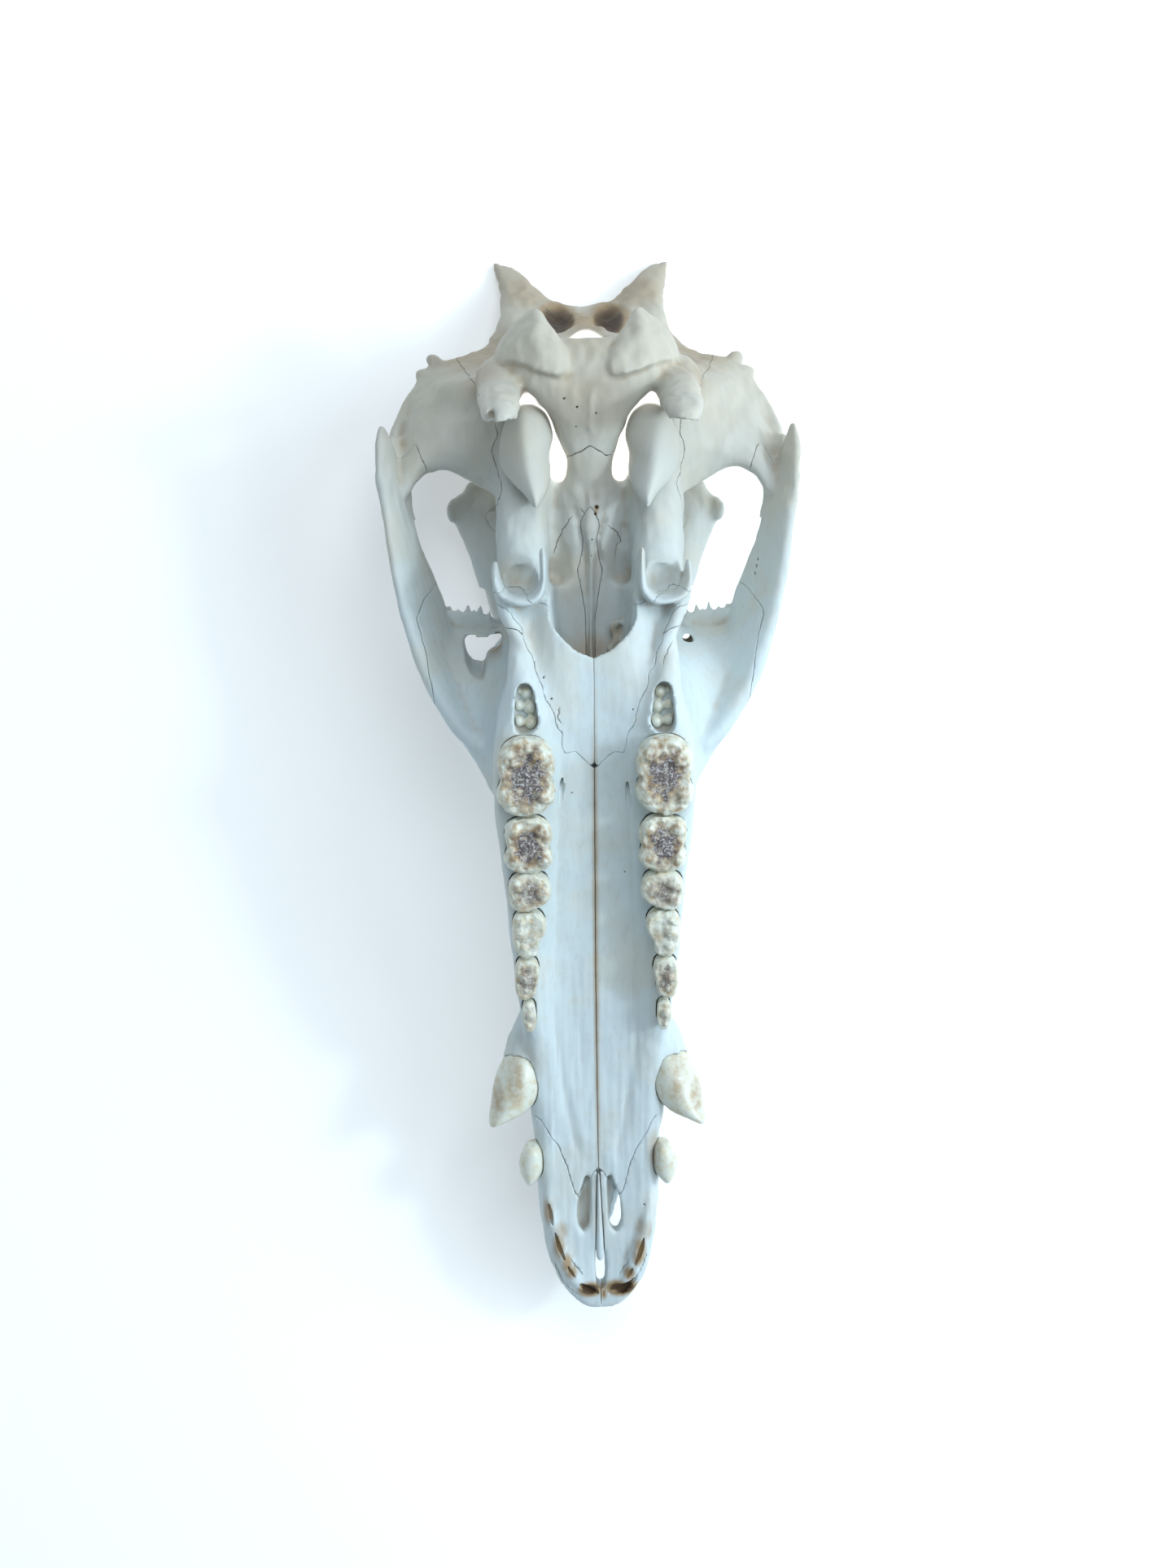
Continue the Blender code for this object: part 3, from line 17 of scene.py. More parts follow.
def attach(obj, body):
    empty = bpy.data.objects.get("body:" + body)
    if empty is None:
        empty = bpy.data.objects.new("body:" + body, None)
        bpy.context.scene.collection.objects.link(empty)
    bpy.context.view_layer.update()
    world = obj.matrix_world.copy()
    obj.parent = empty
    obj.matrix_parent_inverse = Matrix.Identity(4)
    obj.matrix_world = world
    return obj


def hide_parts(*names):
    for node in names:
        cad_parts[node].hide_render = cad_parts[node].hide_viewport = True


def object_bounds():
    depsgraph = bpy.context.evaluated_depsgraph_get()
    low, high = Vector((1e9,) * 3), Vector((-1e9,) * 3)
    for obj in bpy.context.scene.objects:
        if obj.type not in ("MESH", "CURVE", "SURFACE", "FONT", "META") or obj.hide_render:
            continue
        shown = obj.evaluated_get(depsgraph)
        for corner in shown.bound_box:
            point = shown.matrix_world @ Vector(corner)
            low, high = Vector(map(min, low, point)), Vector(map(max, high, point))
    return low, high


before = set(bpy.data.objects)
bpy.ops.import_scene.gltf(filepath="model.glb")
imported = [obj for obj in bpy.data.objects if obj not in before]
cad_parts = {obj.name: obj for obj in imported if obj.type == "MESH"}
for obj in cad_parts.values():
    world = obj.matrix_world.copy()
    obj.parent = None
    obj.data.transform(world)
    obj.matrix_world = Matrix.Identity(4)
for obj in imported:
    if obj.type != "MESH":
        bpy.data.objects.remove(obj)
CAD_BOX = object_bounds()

bl_info = {
    "name": "Wild boar skull",
    "version": (1, 0, 0),
    "blender": (4, 5, 0),
    "location": "3D View > Sidebar > Skull",
    "description": "Builds the bones and teeth of a wild boar's skull around their solids",
    "category": "Object",
}

MM = 0.001

# The skull's own frame on the floor
CREST_TIP = (27.8, 145.8, -119.6)
NASAL_TIP = (0, -152.0, -36.2)
FLOOR_SHIFT = (0.07, -7.32, 75.61)
TILT = math.atan2(CREST_TIP[2] - NASAL_TIP[2], CREST_TIP[1] - NASAL_TIP[1])
PLACE = Matrix.Translation(Vector(FLOOR_SHIFT) * MM) @ Matrix.Rotation(-TILT, 4, 'X')
SNOUT_TIP = -165.2
ARCH_HALF_WIDTH = 61.0

# Room round the bodies that stand in a seat, in mm
SEAT = 0.3
TOOTH_SEAT = 0.35

# Fineness of the fused bodies, in mm
CORE_VOXEL = 1.3
CORE_PASSES = 11
FORM_SOFTENING = 4.8
FINE_VOXEL = 0.7
TOOTH_VOXEL = 0.36
TERRITORY_VOXEL = 1.2
TIP_VOXEL = 0.4

# Cracks and foramina, in mm, and a height over every surface that faces the viewer
CRACK_WIDTH = 0.24
CRACK_DEPTH = 0.8
PIT_DEPTH = 1.4
ABOVE = 40

# How often a surface is evened out to find its creases
CREASE_ROUNDS = 14


# Shapes

def eased(rows, count, closed=False):
    """Even steps along a smooth curve through rows of numbers."""
    size = len(rows)
    spans = size if closed else size - 1
    out = []
    for k in range(count):
        t = k * spans / (count if closed else count - 1)
        i = min(int(t), spans - 1)
        f = t - i
        near = (i - 1, i, i + 1, i + 2)
        quad = (rows[j % size] if closed else rows[max(0, min(size - 1, j))] for j in near)
        out.append([
            0.5 * (2 * q + (r - p) * f + (2 * p - 5 * q + 4 * r - s) * f ** 2
                   + (3 * q - p - 3 * r + s) * f ** 3)
            for p, q, r, s in zip(*quad)
        ])
    return out


def placed(name, bm):
    """A scene object from a bmesh."""
    mesh = bpy.data.meshes.new(name)
    bm.to_mesh(mesh)
    bm.free()
    obj = bpy.data.objects.new(name, mesh)
    bpy.context.scene.collection.objects.link(obj)
    return obj


def skin(name, rings):
    """One closed body through rings of points in mm, bridged in order and capped."""
    bm = bmesh.new()
    loops = []
    for ring in rings:
        verts = [bm.verts.new(Vector(point) * MM) for point in ring]
        loops.append([bm.edges.new(pair) for pair in zip(verts, verts[1:] + verts[:1])])
    for near, far in zip(loops, loops[1:]):
        bmesh.ops.bridge_loops(bm, edges=near + far)
    for end in (loops[0], loops[-1]):
        bmesh.ops.triangle_fill(bm, edges=end, use_beauty=True)
    bmesh.ops.triangulate(bm, faces=bm.faces)
    bmesh.ops.recalc_face_normals(bm, faces=bm.faces)
    return placed(name, bm)


def along(axis, place, a, b):
    """The point (a, b) of an outline that stands across an axis."""
    return {'x': (place, a, b), 'y': (a, place, b), 'z': (a, b, place)}[axis]


def let_out(outline, distance):
    """An outline let out on every side by a distance, or taken in where it is below 0."""
    count = len(outline)
    turn = math.copysign(1, sum(
        outline[i - 1][0] * outline[i][1] - outline[i][0] * outline[i - 1][1] for i in range(count)))
    out = []
    for i, point in enumerate(outline):
        before = (Vector(point) - Vector(outline[i - 1])).normalized()
        after = (Vector(outline[(i + 1) % count]) - Vector(point)).normalized()
        way = Vector((before.y + after.y, -before.x - after.x)) * turn
        way *= distance / max(0.3, way.length_squared / 2)
        out.append((point[0] + way.x, point[1] + way.y))
    return out


def slices(name, axis, stations, count=24, around=40, mirror=False):
    """A body through flat outlines, each (place, [(a, b), ...]), smoothed round and along.
    With mirror, an outline is the right half, from the top of the midline round to its foot."""
    rows = [[place] + [value for point in outline for value in point] for place, outline in stations]
    rings = []
    for row in eased(rows, count):
        points = list(zip(row[1::2], row[2::2]))
        if mirror:
            points += [(-a, b) for a, b in reversed(points[1:-1])]
        rings.append([along(axis, row[0], a, b) for a, b in eased(points, around, closed=True)])
    return skin(name, rings)


def limb(name, stations, up=(0, 0, 1), count=24, around=20, power=2.0, rounded=True):
    """A bar along a curve, each station (x, y, z, half width, half height); power squares its section."""
    rows = eased(stations, count)
    last = count - 1
    sections = []
    for i, row in enumerate(rows):
        ahead = (Vector(rows[min(last, i + 1)][:3]) - Vector(rows[max(0, i - 1)][:3])).normalized()
        side = Vector(up).cross(ahead).normalized()
        sections.append((Vector(row[:3]), side, ahead.cross(side), ahead, max(row[3], 0.15),
                         max(row[4], 0.15)))

    def ring(section, scale=1.0, shift=0.0):
        centre, side, rise, ahead, width, height = section
        out = []
        for k in range(around):
            c = math.cos(2 * math.pi * k / around)
            s = math.sin(2 * math.pi * k / around)
            a = math.copysign(abs(c) ** (2 / power), c) * width * scale
            b = math.copysign(abs(s) ** (2 / power), s) * height * scale
            out.append(centre + side * a + rise * b + ahead * shift)
        return out

    rings = [ring(section) for section in sections]
    if rounded:
        for s in (0.4, 0.7, 0.97):
            small = math.sqrt(1 - s * s)
            rings.insert(0, ring(sections[0], small, -min(sections[0][4:]) * s))
            rings.append(ring(sections[-1], small, min(sections[-1][4:]) * s))
    return skin(name, rings)


def blob(name, centre, radii, turn=(0, 0, 0), level=3):
    """A stretched ball, turned by degrees about x, y and z."""
    bm = bmesh.new()
    bmesh.ops.create_icosphere(bm, subdivisions=level, radius=1)
    turned = Euler([math.radians(angle) for angle in turn]).to_matrix().to_4x4()
    stretched = Matrix.Diagonal((*(Vector(radii) * MM), 1))
    bmesh.ops.transform(bm, matrix=Matrix.Translation(Vector(centre) * MM) @ turned @ stretched,
                        verts=bm.verts)
    return placed(name, bm)


def prism(name, outline, low, high):
    """A flat outline in x and y, drawn out from one height to another."""
    return skin(name, [[(a, b, z) for a, b in outline] for z in (low, high)])


def mirrored_outline(half):
    """A whole outline from its right half, whose first and last points are on the midline."""
    return half + [(-x, y) for x, y in reversed(half[1:-1])]


def other_side(obj):
    """The mirror image of a piece, across the skull's midplane."""
    bm = bmesh.new()
    bm.from_mesh(obj.data)
    bmesh.ops.scale(bm, vec=(-1, 1, 1), verts=bm.verts)
    bmesh.ops.reverse_faces(bm, faces=bm.faces)
    return placed(obj.name + "_mirrored", bm)


def both(*pieces):
    """Each piece and its mirror image."""
    return [side for piece in pieces for side in (piece, other_side(piece))]


def applied(obj):
    """The object with its modifiers made real."""
    shown = obj.evaluated_get(bpy.context.evaluated_depsgraph_get())
    mesh = bpy.data.meshes.new_from_object(shown)
    old = obj.data
    obj.modifiers.clear()
    obj.data = mesh
    bpy.data.meshes.remove(old)
    return obj


def copied(obj):
    """A second object on a copy of the mesh."""
    twin = bpy.data.objects.new(obj.name + "_copy", obj.data.copy())
    bpy.context.scene.collection.objects.link(twin)
    return twin


def fused(name, pieces, voxel, passes):
    """The pieces as one body on a fine grid, softened by a number of smoothing passes."""
    bm = bmesh.new()
    for piece in pieces:
        bm.from_mesh(piece.data)
        bpy.data.objects.remove(piece)
    obj = placed(name, bm)
    grid = obj.modifiers.new("fuse", 'REMESH')
    grid.mode = 'VOXEL'
    grid.voxel_size = voxel * MM
    if passes:
        soften = obj.modifiers.new("soften", 'SMOOTH')
        soften.factor = 0.5
        soften.iterations = passes
    return applied(obj)


def cut(obj, tool, operation):
    """A Boolean with another closed body, which is used up."""
    step = obj.modifiers.new("cut", 'BOOLEAN')
    step.operation = operation
    step.solver = 'MANIFOLD'
    step.object = tool
    applied(obj)
    bpy.data.objects.remove(tool)
    return obj


def edge_ends(mesh):
    """The two vertex numbers of every edge."""
    ends = np.empty(len(mesh.edges) * 2, np.int32)
    mesh.edges.foreach_get("vertices", ends)
    return ends[0::2], ends[1::2]


def largest(obj):
    """Only the largest closed surface of a body."""
    mesh = obj.data
    a, b = edge_ends(mesh)
    label = np.arange(len(mesh.vertices))
    while True:
        low = np.minimum(label[a], label[b])
        after = label.copy()
        np.minimum.at(after, a, low)
        np.minimum.at(after, b, low)
        after = after[after]
        if np.array_equal(after, label):
            break
        label = after
    names, sizes = np.unique(label, return_counts=True)
    if len(names) > 1:
        keep = names[np.argmax(sizes)]
        bm = bmesh.new()
        bm.from_mesh(mesh)
        scraps = [vert for vert, name in zip(bm.verts, label) if name != keep]
        bmesh.ops.delete(bm, geom=scraps, context='VERTS')
        bm.to_mesh(mesh)
        bm.free()
    return obj


# The masses of the skull

def face_body():
    """Snout and upper jaw, from the diastema to the orbits."""
    return slices("face", 'y', [
        (-112, [(0, -42.5), (9, -42), (14, -31), (18.6, -12), (16, -5.0), (8, -5), (0, -5)]),
        (-100, [(0, -45.5), (11, -44), (15.4, -31), (20.4, -11), (17.5, -4.2), (8, -5), (0, -5)]),
        (-85, [(0, -48.5), (12, -47), (16, -32), (21, -12), (18.5, -3.5), (8, -5.4), (0, -5.5)]),
        (-60, [(0, -54), (13, -52.5), (16.5, -36), (23.2, -12), (21.8, -0.5), (10, -5), (0, -5.5)]),
        (-30, [(0, -60.5), (14, -59), (18, -42), (25.6, -14), (24.8, 1.5), (11, -4.6), (0, -5.5)]),
        (-5, [(0, -66), (15, -65), (21, -46), (28, -16), (27.4, 1.5), (10.5, -3.8), (0, -5)]),
        (15, [(0, -71.5), (18, -70.5), (26, -52), (28, -18), (26.5, 0.5), (11, -3), (0, -4.5)]),
        (30, [(0, -76), (22, -75), (27, -60), (24.5, -28), (23, -9), (12, -3.5), (0, -4.2)]),
        (44, [(0, -80), (25, -79), (22, -64), (18.5, -40), (20, -20), (13, -8), (0, -7)]),
        (52, [(0, -83), (25, -82), (20, -66), (15.5, -44), (17, -26), (13, -12), (0, -12)]),
    ], count=40, around=56, mirror=True)


def roof():
    """The frontal and parietal plate, widest at the processes behind the orbits."""
    def row(y, edge, top, edge_z):
        return (y, [(0, top), (edge * 0.6, top + 0.8), (edge * 0.93, top + (edge_z - top) * 0.45),
                    (edge, edge_z), (edge * 0.8, edge_z + 5), (edge * 0.5, edge_z + 9), (0, edge_z + 10)])
    return slices("roof", 'y', [
        row(8, 18, -69, -63),
        row(22, 27, -73.5, -67),
        row(30, 30, -76, -70),
        row(36, 31, -78, -72.5),
        row(43, 33.5, -80.5, -75),
        row(55, 37, -85, -78.5),
        row(63, 40, -88, -80),
        row(69, 42.5, -90.5, -81.5),
        row(75, 37, -93, -84.5),
        row(82, 31, -95.5, -88),
        row(94, 23.5, -99.5, -92),
        row(107, 19, -103.5, -96),
        row(119, 18.5, -107, -99.5),
        row(129, 21, -110.5, -103),
    ], count=44, around=44, mirror=True)


def braincase():
    """The case under the roof, between the temporal hollows."""
    def row(y, half_width, top, low):
        middle = (top + low) / 2
        half = (low - top) / 2
        return (y, [(0, top), (half_width * 0.6, middle - half * 0.85),
                    (half_width * 0.97, middle - half * 0.3),
                    (half_width * 0.98, middle + half * 0.25), (half_width * 0.7, middle + half * 0.8),
                    (0, low)])
    return slices("braincase", 'y', [
        row(36, 15, -76, -42),
        row(50, 17, -83, -38),
        row(65, 20.5, -88, -36),
        row(80, 26.5, -93, -35),
        row(95, 30, -98, -35),
        row(110, 29.5, -102, -36),
        row(119, 25, -103, -44),
        row(124, 18, -104, -58),
    ], count=30, around=40, mirror=True)


def nuchal_plate():
    """The back of the head, a plate whose top edge rises to the two tips of the crest."""
    def row(x, low, middle, crest, thick):
        (low_y, low_z), (middle_y, middle_z), (crest_y, crest_z) = low, middle, crest
        return (x, [low, middle, crest, (crest_y - 1.2, crest_z - 1.6), (crest_y - thick * 0.7, crest_z + 3),
                    (middle_y - thick - 2, middle_z), (low_y - thick - 3, low_z)])
    half = [
        row(0, (125.6, -62), (128, -84), (131.6, -108), 12),
        row(5, (124.8, -60), (127.5, -84), (133.0, -108.5), 12),
        row(10, (121.5, -55), (126.5, -84), (134.2, -109.5), 10),
        row(15, (119, -50), (126, -84), (138.6, -112), 8),
        row(20, (117, -48), (125, -84), (142.8, -115), 7),
        row(24, (115, -48), (123.5, -84), (145.4, -118.0), 7),
        row(25.6, (114, -48), (122, -84), (145.6, -118.6), 6),
        row(26.2, (113.5, -49), (120.4, -83), (136.4, -111), 6),
        row(26.8, (113, -49), (119.6, -82), (128.4, -101.5), 6),
        row(29.2, (112, -50), (118.6, -81), (123.2, -93.5), 6),
        row(33.2, (111, -52), (117.6, -78), (119.4, -87), 6),
        row(40, (110, -56), (116, -74), (117.4, -80.5), 5),
        row(46, (108, -60), (114, -72), (116.6, -78), 4),
    ]
    left = [(-x, outline) for x, outline in reversed(half[1:])]
    return slices("nuchal", 'x', left + half, count=96, around=40)


def crest_tip():
    """The point of the right wing of the crest."""
    return limb("crest_tip", [(23.4, 136, -111.5, 3.0, 2.6), (25.4, 141.4, -115.6, 2.3, 2.0),
                              (*CREST_TIP, 0.9, 0.8)], up=(0, 1, 0))


def squamosal_shelf():
    """The right shelf over the jaw joint, from the braincase out to the arch."""
    return slices("shelf", 'x', [
        (24, [(76, -44), (90, -38), (104, -42), (113, -62), (108, -78), (92, -78), (78, -60)]),
        (34, [(81, -50), (92, -45), (104, -51), (115.5, -73), (113, -79), (98, -66), (83, -57)]),
        (43, [(86, -50), (94, -47.5), (104, -56), (116.4, -76), (114, -80), (101, -67), (87.2, -57)]),
        (50, [(83.6, -49), (92, -49), (103, -60), (112, -74.5), (109, -78), (98, -68), (85, -57)]),
        (54.5, [(77, -47), (88, -50), (99, -62), (106, -70.5), (103, -73), (93, -64), (79, -57)]),
        (58.6, [(81, -50), (87, -53), (93, -58), (97.5, -63), (95, -64), (89, -61), (83, -56)]),
    ], count=26, around=40)


def cheek():
    """The right root of the arch, under the orbit."""
    return slices("cheek", 'x', [
        (20, [(-16, -12), (10, -8), (33, -14), (40, -40), (40, -66), (22, -68), (-2, -50), (-16, -30)]),
        (27, [(-9, -13), (10, -15), (28, -24), (35, -45), (38, -66), (28, -72), (6, -50), (-8, -28)]),
        (33, [(-1, -19), (11, -21), (27, -31), (35, -48), (38, -62), (30, -70), (16, -50), (4, -31)]),
        (38.5, [(7.0, -22.5), (15, -25), (28, -35), (35, -48), (38, -60), (30, -66), (20, -48), (11, -32)]),
        (43.5, [(15.5, -26), (23, -29), (34, -38), (38, -48), (40, -57), (37, -60), (27, -48), (20, -34)]),
        (47.5, [(28.5, -29), (34, -32), (40, -40), (43, -48), (45, -55), (43, -56), (36, -46), (30, -36)]),
    ], count=24, around=36)


def tuber():
    """The right end of the tooth row, behind the last molar's crypt."""
    return limb("tuber", [(21, 44, -15, 2.0, 4), (21.6, 36, -9.5, 3.0, 5), (20.6, 28, -5.4, 4.6, 5.4),
                          (19.6, 18, -3, 6, 5)])


def basicranium():
    """The bar of bone along the base, from the choana to the foramen magnum."""
    return limb("base", [
        (0, 40, -44, 5, 7), (0, 60, -42, 8.5, 7), (0, 76, -39.5, 8.8, 7), (0, 86, -36.5, 6.6, 5.6),
        (0, 93, -34.8, 7.4, 5.4), (0, 100, -33.6, 10, 5.4), (0, 107, -33, 16, 5.8), (0, 114, -34.0, 22, 6.2),
        (0, 120.6, -37.4, 19, 4.2),
    ], count=34, around=28, power=2.6)


def pterygoid_mass():
    """The right buttress beside the choana."""
    return limb("pterygoid", [
        (19.6, 90, -46, 8.0, 9), (19.6, 80, -41, 8.0, 10), (19.8, 70, -37, 7.8, 11.6),
        (19.8, 62, -34, 7.6, 11.4), (19.6, 52, -27, 7.4, 11.6), (18.6, 44, -20.5, 6, 9),
    ], power=2.8)


# The smaller forms

def jugal():
    """The right cheek bone's plate, out along the arch to its free tip."""
    reach = ARCH_HALF_WIDTH
    return limb("jugal", [
        (31.5, 6, -22, 2.6, 5), (37.4, 12.5, -27, 3.2, 8), (43.0, 23, -34, 3.4, 11.5),
        (46.8, 34, -39.5, 3.4, 13.5), (50.4, 46, -43, 3.0, 14.2), (54.0, 58, -44.5, 2.7, 11.6),
        (reach - 3.9, 71, -45.5, 2.5, 8.6), (reach - 1.2, 83, -46, 2.2, 6.4),
        (reach - 0.4, 92, -46, 1.8, 4.8), (reach, 98.5, -46, 0.9, 2.0),
    ], up=(0.36, 0, 0.93), count=36, around=24, power=2.4)


def squamosal_bar():
    """The part of the right arch that runs forward over the jugal."""
    return limb("bar", [(57.6, 93, -57, 2.2, 5.5), (56.6, 83, -54, 2.4, 5.5), (55.2, 73, -52, 2.2, 5),
                        (52.6, 62, -52, 1.5, 3)], up=(0.36, 0, 0.93))


def temporal_ridge():
    """The right edge of the shelf, from the arch up to the nuchal crest."""
    return limb("ridge", [(45.5, 114.6, -77.6, 1.6, 1.8), (49.6, 111.6, -75.8, 1.4, 1.6),
                          (53, 106.6, -70.6, 1.2, 1.5), (56.4, 100.6, -65, 1.2, 1.7),
                          (58.6, 94, -60, 1.3, 2.4)])


def crest_knobs():
    """Two rough points where the right ridge meets the crest."""
    return [blob("knob", (46.6, 116.6, -79), (2.6, 2.2, 2.6)),
            blob("knob", (50.2, 112.2, -76.4), (2.2, 2.0, 2.2))]


def condyle():
    """The right condyle, a D in plan with a straight sharp inner edge."""
    def row(x, low, up, swell):
        (low_y, low_z), (up_y, up_z) = low, up
        middle = ((low_y + up_y) / 2 + swell * 0.6, (low_z + up_z) / 2 + swell)
        return (x, [(low_y - 2.4, low_z - 2), low, middle, up, (up_y - 0.9, up_z - 4), (up_y - 5, up_z - 11),
                    (low_y - 3, up_z - 10)])
    return slices("condyle", 'x', [
        row(5.4, (116.4, -28.8), (118.0, -29.6), 0.1),
        row(6.4, (115.9, -26.7), (121.0, -32.0), 0.6),
        row(9.4, (116.0, -26.2), (125.8, -36.0), 1.4),
        row(12, (116.8, -26.6), (129.4, -39.4), 1.8),
        row(15, (117.6, -27.6), (132.3, -42.4), 2.2),
        row(18.4, (118.8, -29.8), (130.6, -45.0), 2.2),
        row(22, (119.6, -33.0), (128.0, -48.0), 2.0),
        row(25, (119.2, -37.5), (124.2, -48.5), 1.2),
        row(26.8, (118.3, -42.0), (120.8, -47.0), 0.4),
    ], count=40, around=36)


def condyle_root():
    """What carries the right condyle, a low swelling in front of it."""
    return limb("condyle_root", [(7.5, 113.0, -34.5, 4.0, 3.4), (13, 115.5, -36.5, 7.6, 7.4),
                                 (18, 116.5, -43, 8.4, 9.4), (21, 115, -51, 6, 8)], up=(0, 1, 0))


def paracondylar():
    """The long flat process beside the right condyle."""
    return limb("paracondylar", [
        (26.2, 111.6, -46, 7.4, 7.5), (26.0, 109.6, -34, 6.6, 5.6), (26.0, 107.4, -22, 6.0, 4.4),
        (26.0, 105.6, -12, 5.8, 3.6), (26.0, 104.2, -6, 5.0, 3.2), (25.9, 103.4, -2.4, 3.2, 2.4),
    ], up=(0, 1, 0.12), power=2.2)


def paracondylar_notch():
    """The furrow that parts the left process into a lobe and a leaf."""
    return limb("notch", [(-28.2, 112.4, -30, 0.3, 1.0), (-28.4, 109.8, -20, 0.8, 3.2),
                          (-28.3, 105.6, -8, 0.7, 4.4), (-28.0, 102.0, 2, 1.2, 5.0)], up=(0, 1, 0.12))


def postorbital():
    """The right process behind the orbit, a broad thin shelf turned down at its end."""
    return limb("postorbital", [(31, 70.5, -87, 8.5, 2.4), (36.5, 70.2, -84.4, 5.6, 2.3),
                                (40.2, 69.8, -81.0, 4.2, 2.0), (42.4, 69.4, -77.2, 3.3, 1.4)], power=2.8)


def orbit_edge():
    """The thin rear edge of the right orbit's floor."""
    return limb("orbit_edge", [(28, 37, -56, 2.6, 1.4), (36, 38.6, -55, 2.8, 1.3),
                               (43.5, 40.5, -52.5, 2.4, 1.3)])


def spikes():
    """Points along that edge."""
    return [limb("spike", [(x, 37.4, -54.8, 1.0, 0.8), (x + lean * 0.6, tip - 1.4, -55.0, 0.8, 0.6),
                           (x + lean, tip, -55.2, 0.35, 0.35)], count=8, around=10)
            for x, tip, lean in ((30.6, 42.2, -0.4), (32.8, 43.6, 0.3), (34.8, 42.6, 0.2), (37.0, 44.2, -0.3),
                                 (39.4, 42.8, 0.4), (42.0, 43.8, 0.5))]


def socket_border():
    """The raised border of the right front teeth's sockets."""
    return limb("border", [(15.4, -126, -4.9, 1.0, 1.0), (14.5, -134, -4.2, 1.4, 1.5),
                           (12.9, -141, -3.8, 1.7, 1.7), (11.2, -147.4, -3.4, 2.0, 2.1),
                           (8.8, -153.4, -3.8, 1.9, 1.6), (5.4, -158.0, -4.4, 1.3, 1.0)])


def base_ridge():
    """The fine ridge along the middle of the base."""
    return limb("base_ridge", [(0.8, 113, -28.4, 0.5, 0.8), (0.3, 106, -27.8, 0.7, 1.0),
                               (-0.1, 98.6, -28.6, 0.4, 0.8)])


def roof_folds():
    """Folds down the roof of the passage behind the palate."""
    return [limb("fold", rows, count=12, around=10) for rows in (
        [(-3.8, 82.6, -31.6, 0.4, 0.9), (-2.9, 77.0, -32.8, 0.9, 1.5), (-2.5, 72.4, -35.2, 0.5, 1.0)],
        [(-6.0, 85.0, -30.2, 0.4, 1.0), (-7.7, 78.6, -30.2, 1.0, 2.2), (-8.1, 70.0, -32.4, 0.5, 1.0)],
        [(7.2, 80.0, -30.0, 0.4, 1.0), (7.7, 74.4, -31.4, 1.0, 1.9), (7.8, 68.6, -33.2, 0.5, 1.0)],
        [(9.8, 86.0, -27.4, 0.5, 1.4), (8.9, 81.6, -28.4, 1.0, 2.0), (8.4, 76.6, -29.8, 0.5, 1.0)],
        [(4.3, 81.6, -31.8, 0.4, 0.9), (2.9, 75.4, -33.6, 0.9, 1.5), (2.4, 69.6, -35.6, 0.5, 1.0)],
        [(-4.8, 71.0, -35.0, 0.6, 0.8), (-5.8, 64.0, -35.4, 2.4, 1.5), (-6.0, 58.4, -35.6, 0.8, 0.8)],
        [(4.8, 69.6, -35.0, 0.6, 0.8), (5.2, 64.0, -35.6, 2.4, 1.3), (5.4, 58.8, -35.8, 0.8, 0.8)],
    )]


def deposit():
    """Dried matter left in the right passage behind the palate."""
    return [blob("deposit", centre, radii, turn, 2) for centre, radii, turn in (
        ((6.6, 39.6, -32.0), (1.3, 2.6, 1.2), (0, 0, 12)),
        ((7.4, 36.0, -31.4), (1.5, 2.2, 1.3), (0, 10, -20)),
        ((6.0, 33.4, -31.0), (1.2, 2.0, 1.2), (0, 0, 24)),
        ((7.8, 41.6, -31.8), (1.0, 1.2, 0.9), (0, 0, 0)))]


def brow():
    """The right edge of the roof over the orbit."""
    return limb("brow", [(27.4, 36, -76, 3.4, 2.2), (29.4, 44, -77.4, 3.6, 2.3), (32.0, 53, -79, 3.8, 2.4),
                         (34.8, 61, -80, 4.2, 2.5), (37.0, 68, -80.5, 4.4, 2.6), (34.2, 76, -84, 4.0, 2.6)])


def pterygoid_rim():
    """The raised front wall of the right pterygoid fossa, round to the spur at its inner end."""
    return limb("rim", [
        (27.8, 60.4, -20, 0.9, 2.4), (27.3, 56.6, -16.5, 1.3, 4.6), (25.4, 53.0, -13.5, 1.5, 6.0),
        (21.4, 51.6, -12.4, 1.5, 7.2), (17.4, 51.8, -12, 1.5, 7.2), (14.6, 54.6, -11.8, 1.3, 6),
        (14.0, 59.6, -12.4, 1.0, 5), (14.2, 65.0, -14.5, 0.8, 4.0),
    ], count=36)


def palatine_ridge():
    """The rounded edge from the right hook forward to the palate."""
    return limb("edge", [(26.6, 54, -14.6, 2.2, 3.4), (23.8, 46, -11.4, 2.3, 3.4),
                         (20.2, 38.5, -8.4, 2.0, 3.0), (17.0, 31.5, -6.4, 1.2, 2.2)])


def canine_socket():
    """The swelling that carries the right canine."""
    return limb("socket", [(17.5, -64, -24, 3, 4), (18.2, -74, -18, 4.2, 5.6), (20.8, -83, -13, 5.8, 6.4),
                           (22.2, -88.5, -10.5, 6.2, 6.2)])


def vomer_keel():
    """The low keel along the roof of the choana, broad where it starts and thin in front."""
    return limb("keel", [(0, 8, -24, 0.8, 5), (0.1, 34, -33.5, 0.7, 2.8), (0.3, 46, -35.8, 0.6, 1.8),
                         (0.3, 58, -36.2, 0.7, 2.0), (0.3, 64, -36.0, 1.1, 2.4), (0.2, 70, -35.2, 2.2, 2.8),
                         (0.2, 75, -34.2, 1.4, 2.2), (0.2, 80, -33.4, 0.6, 1.4)], count=40)


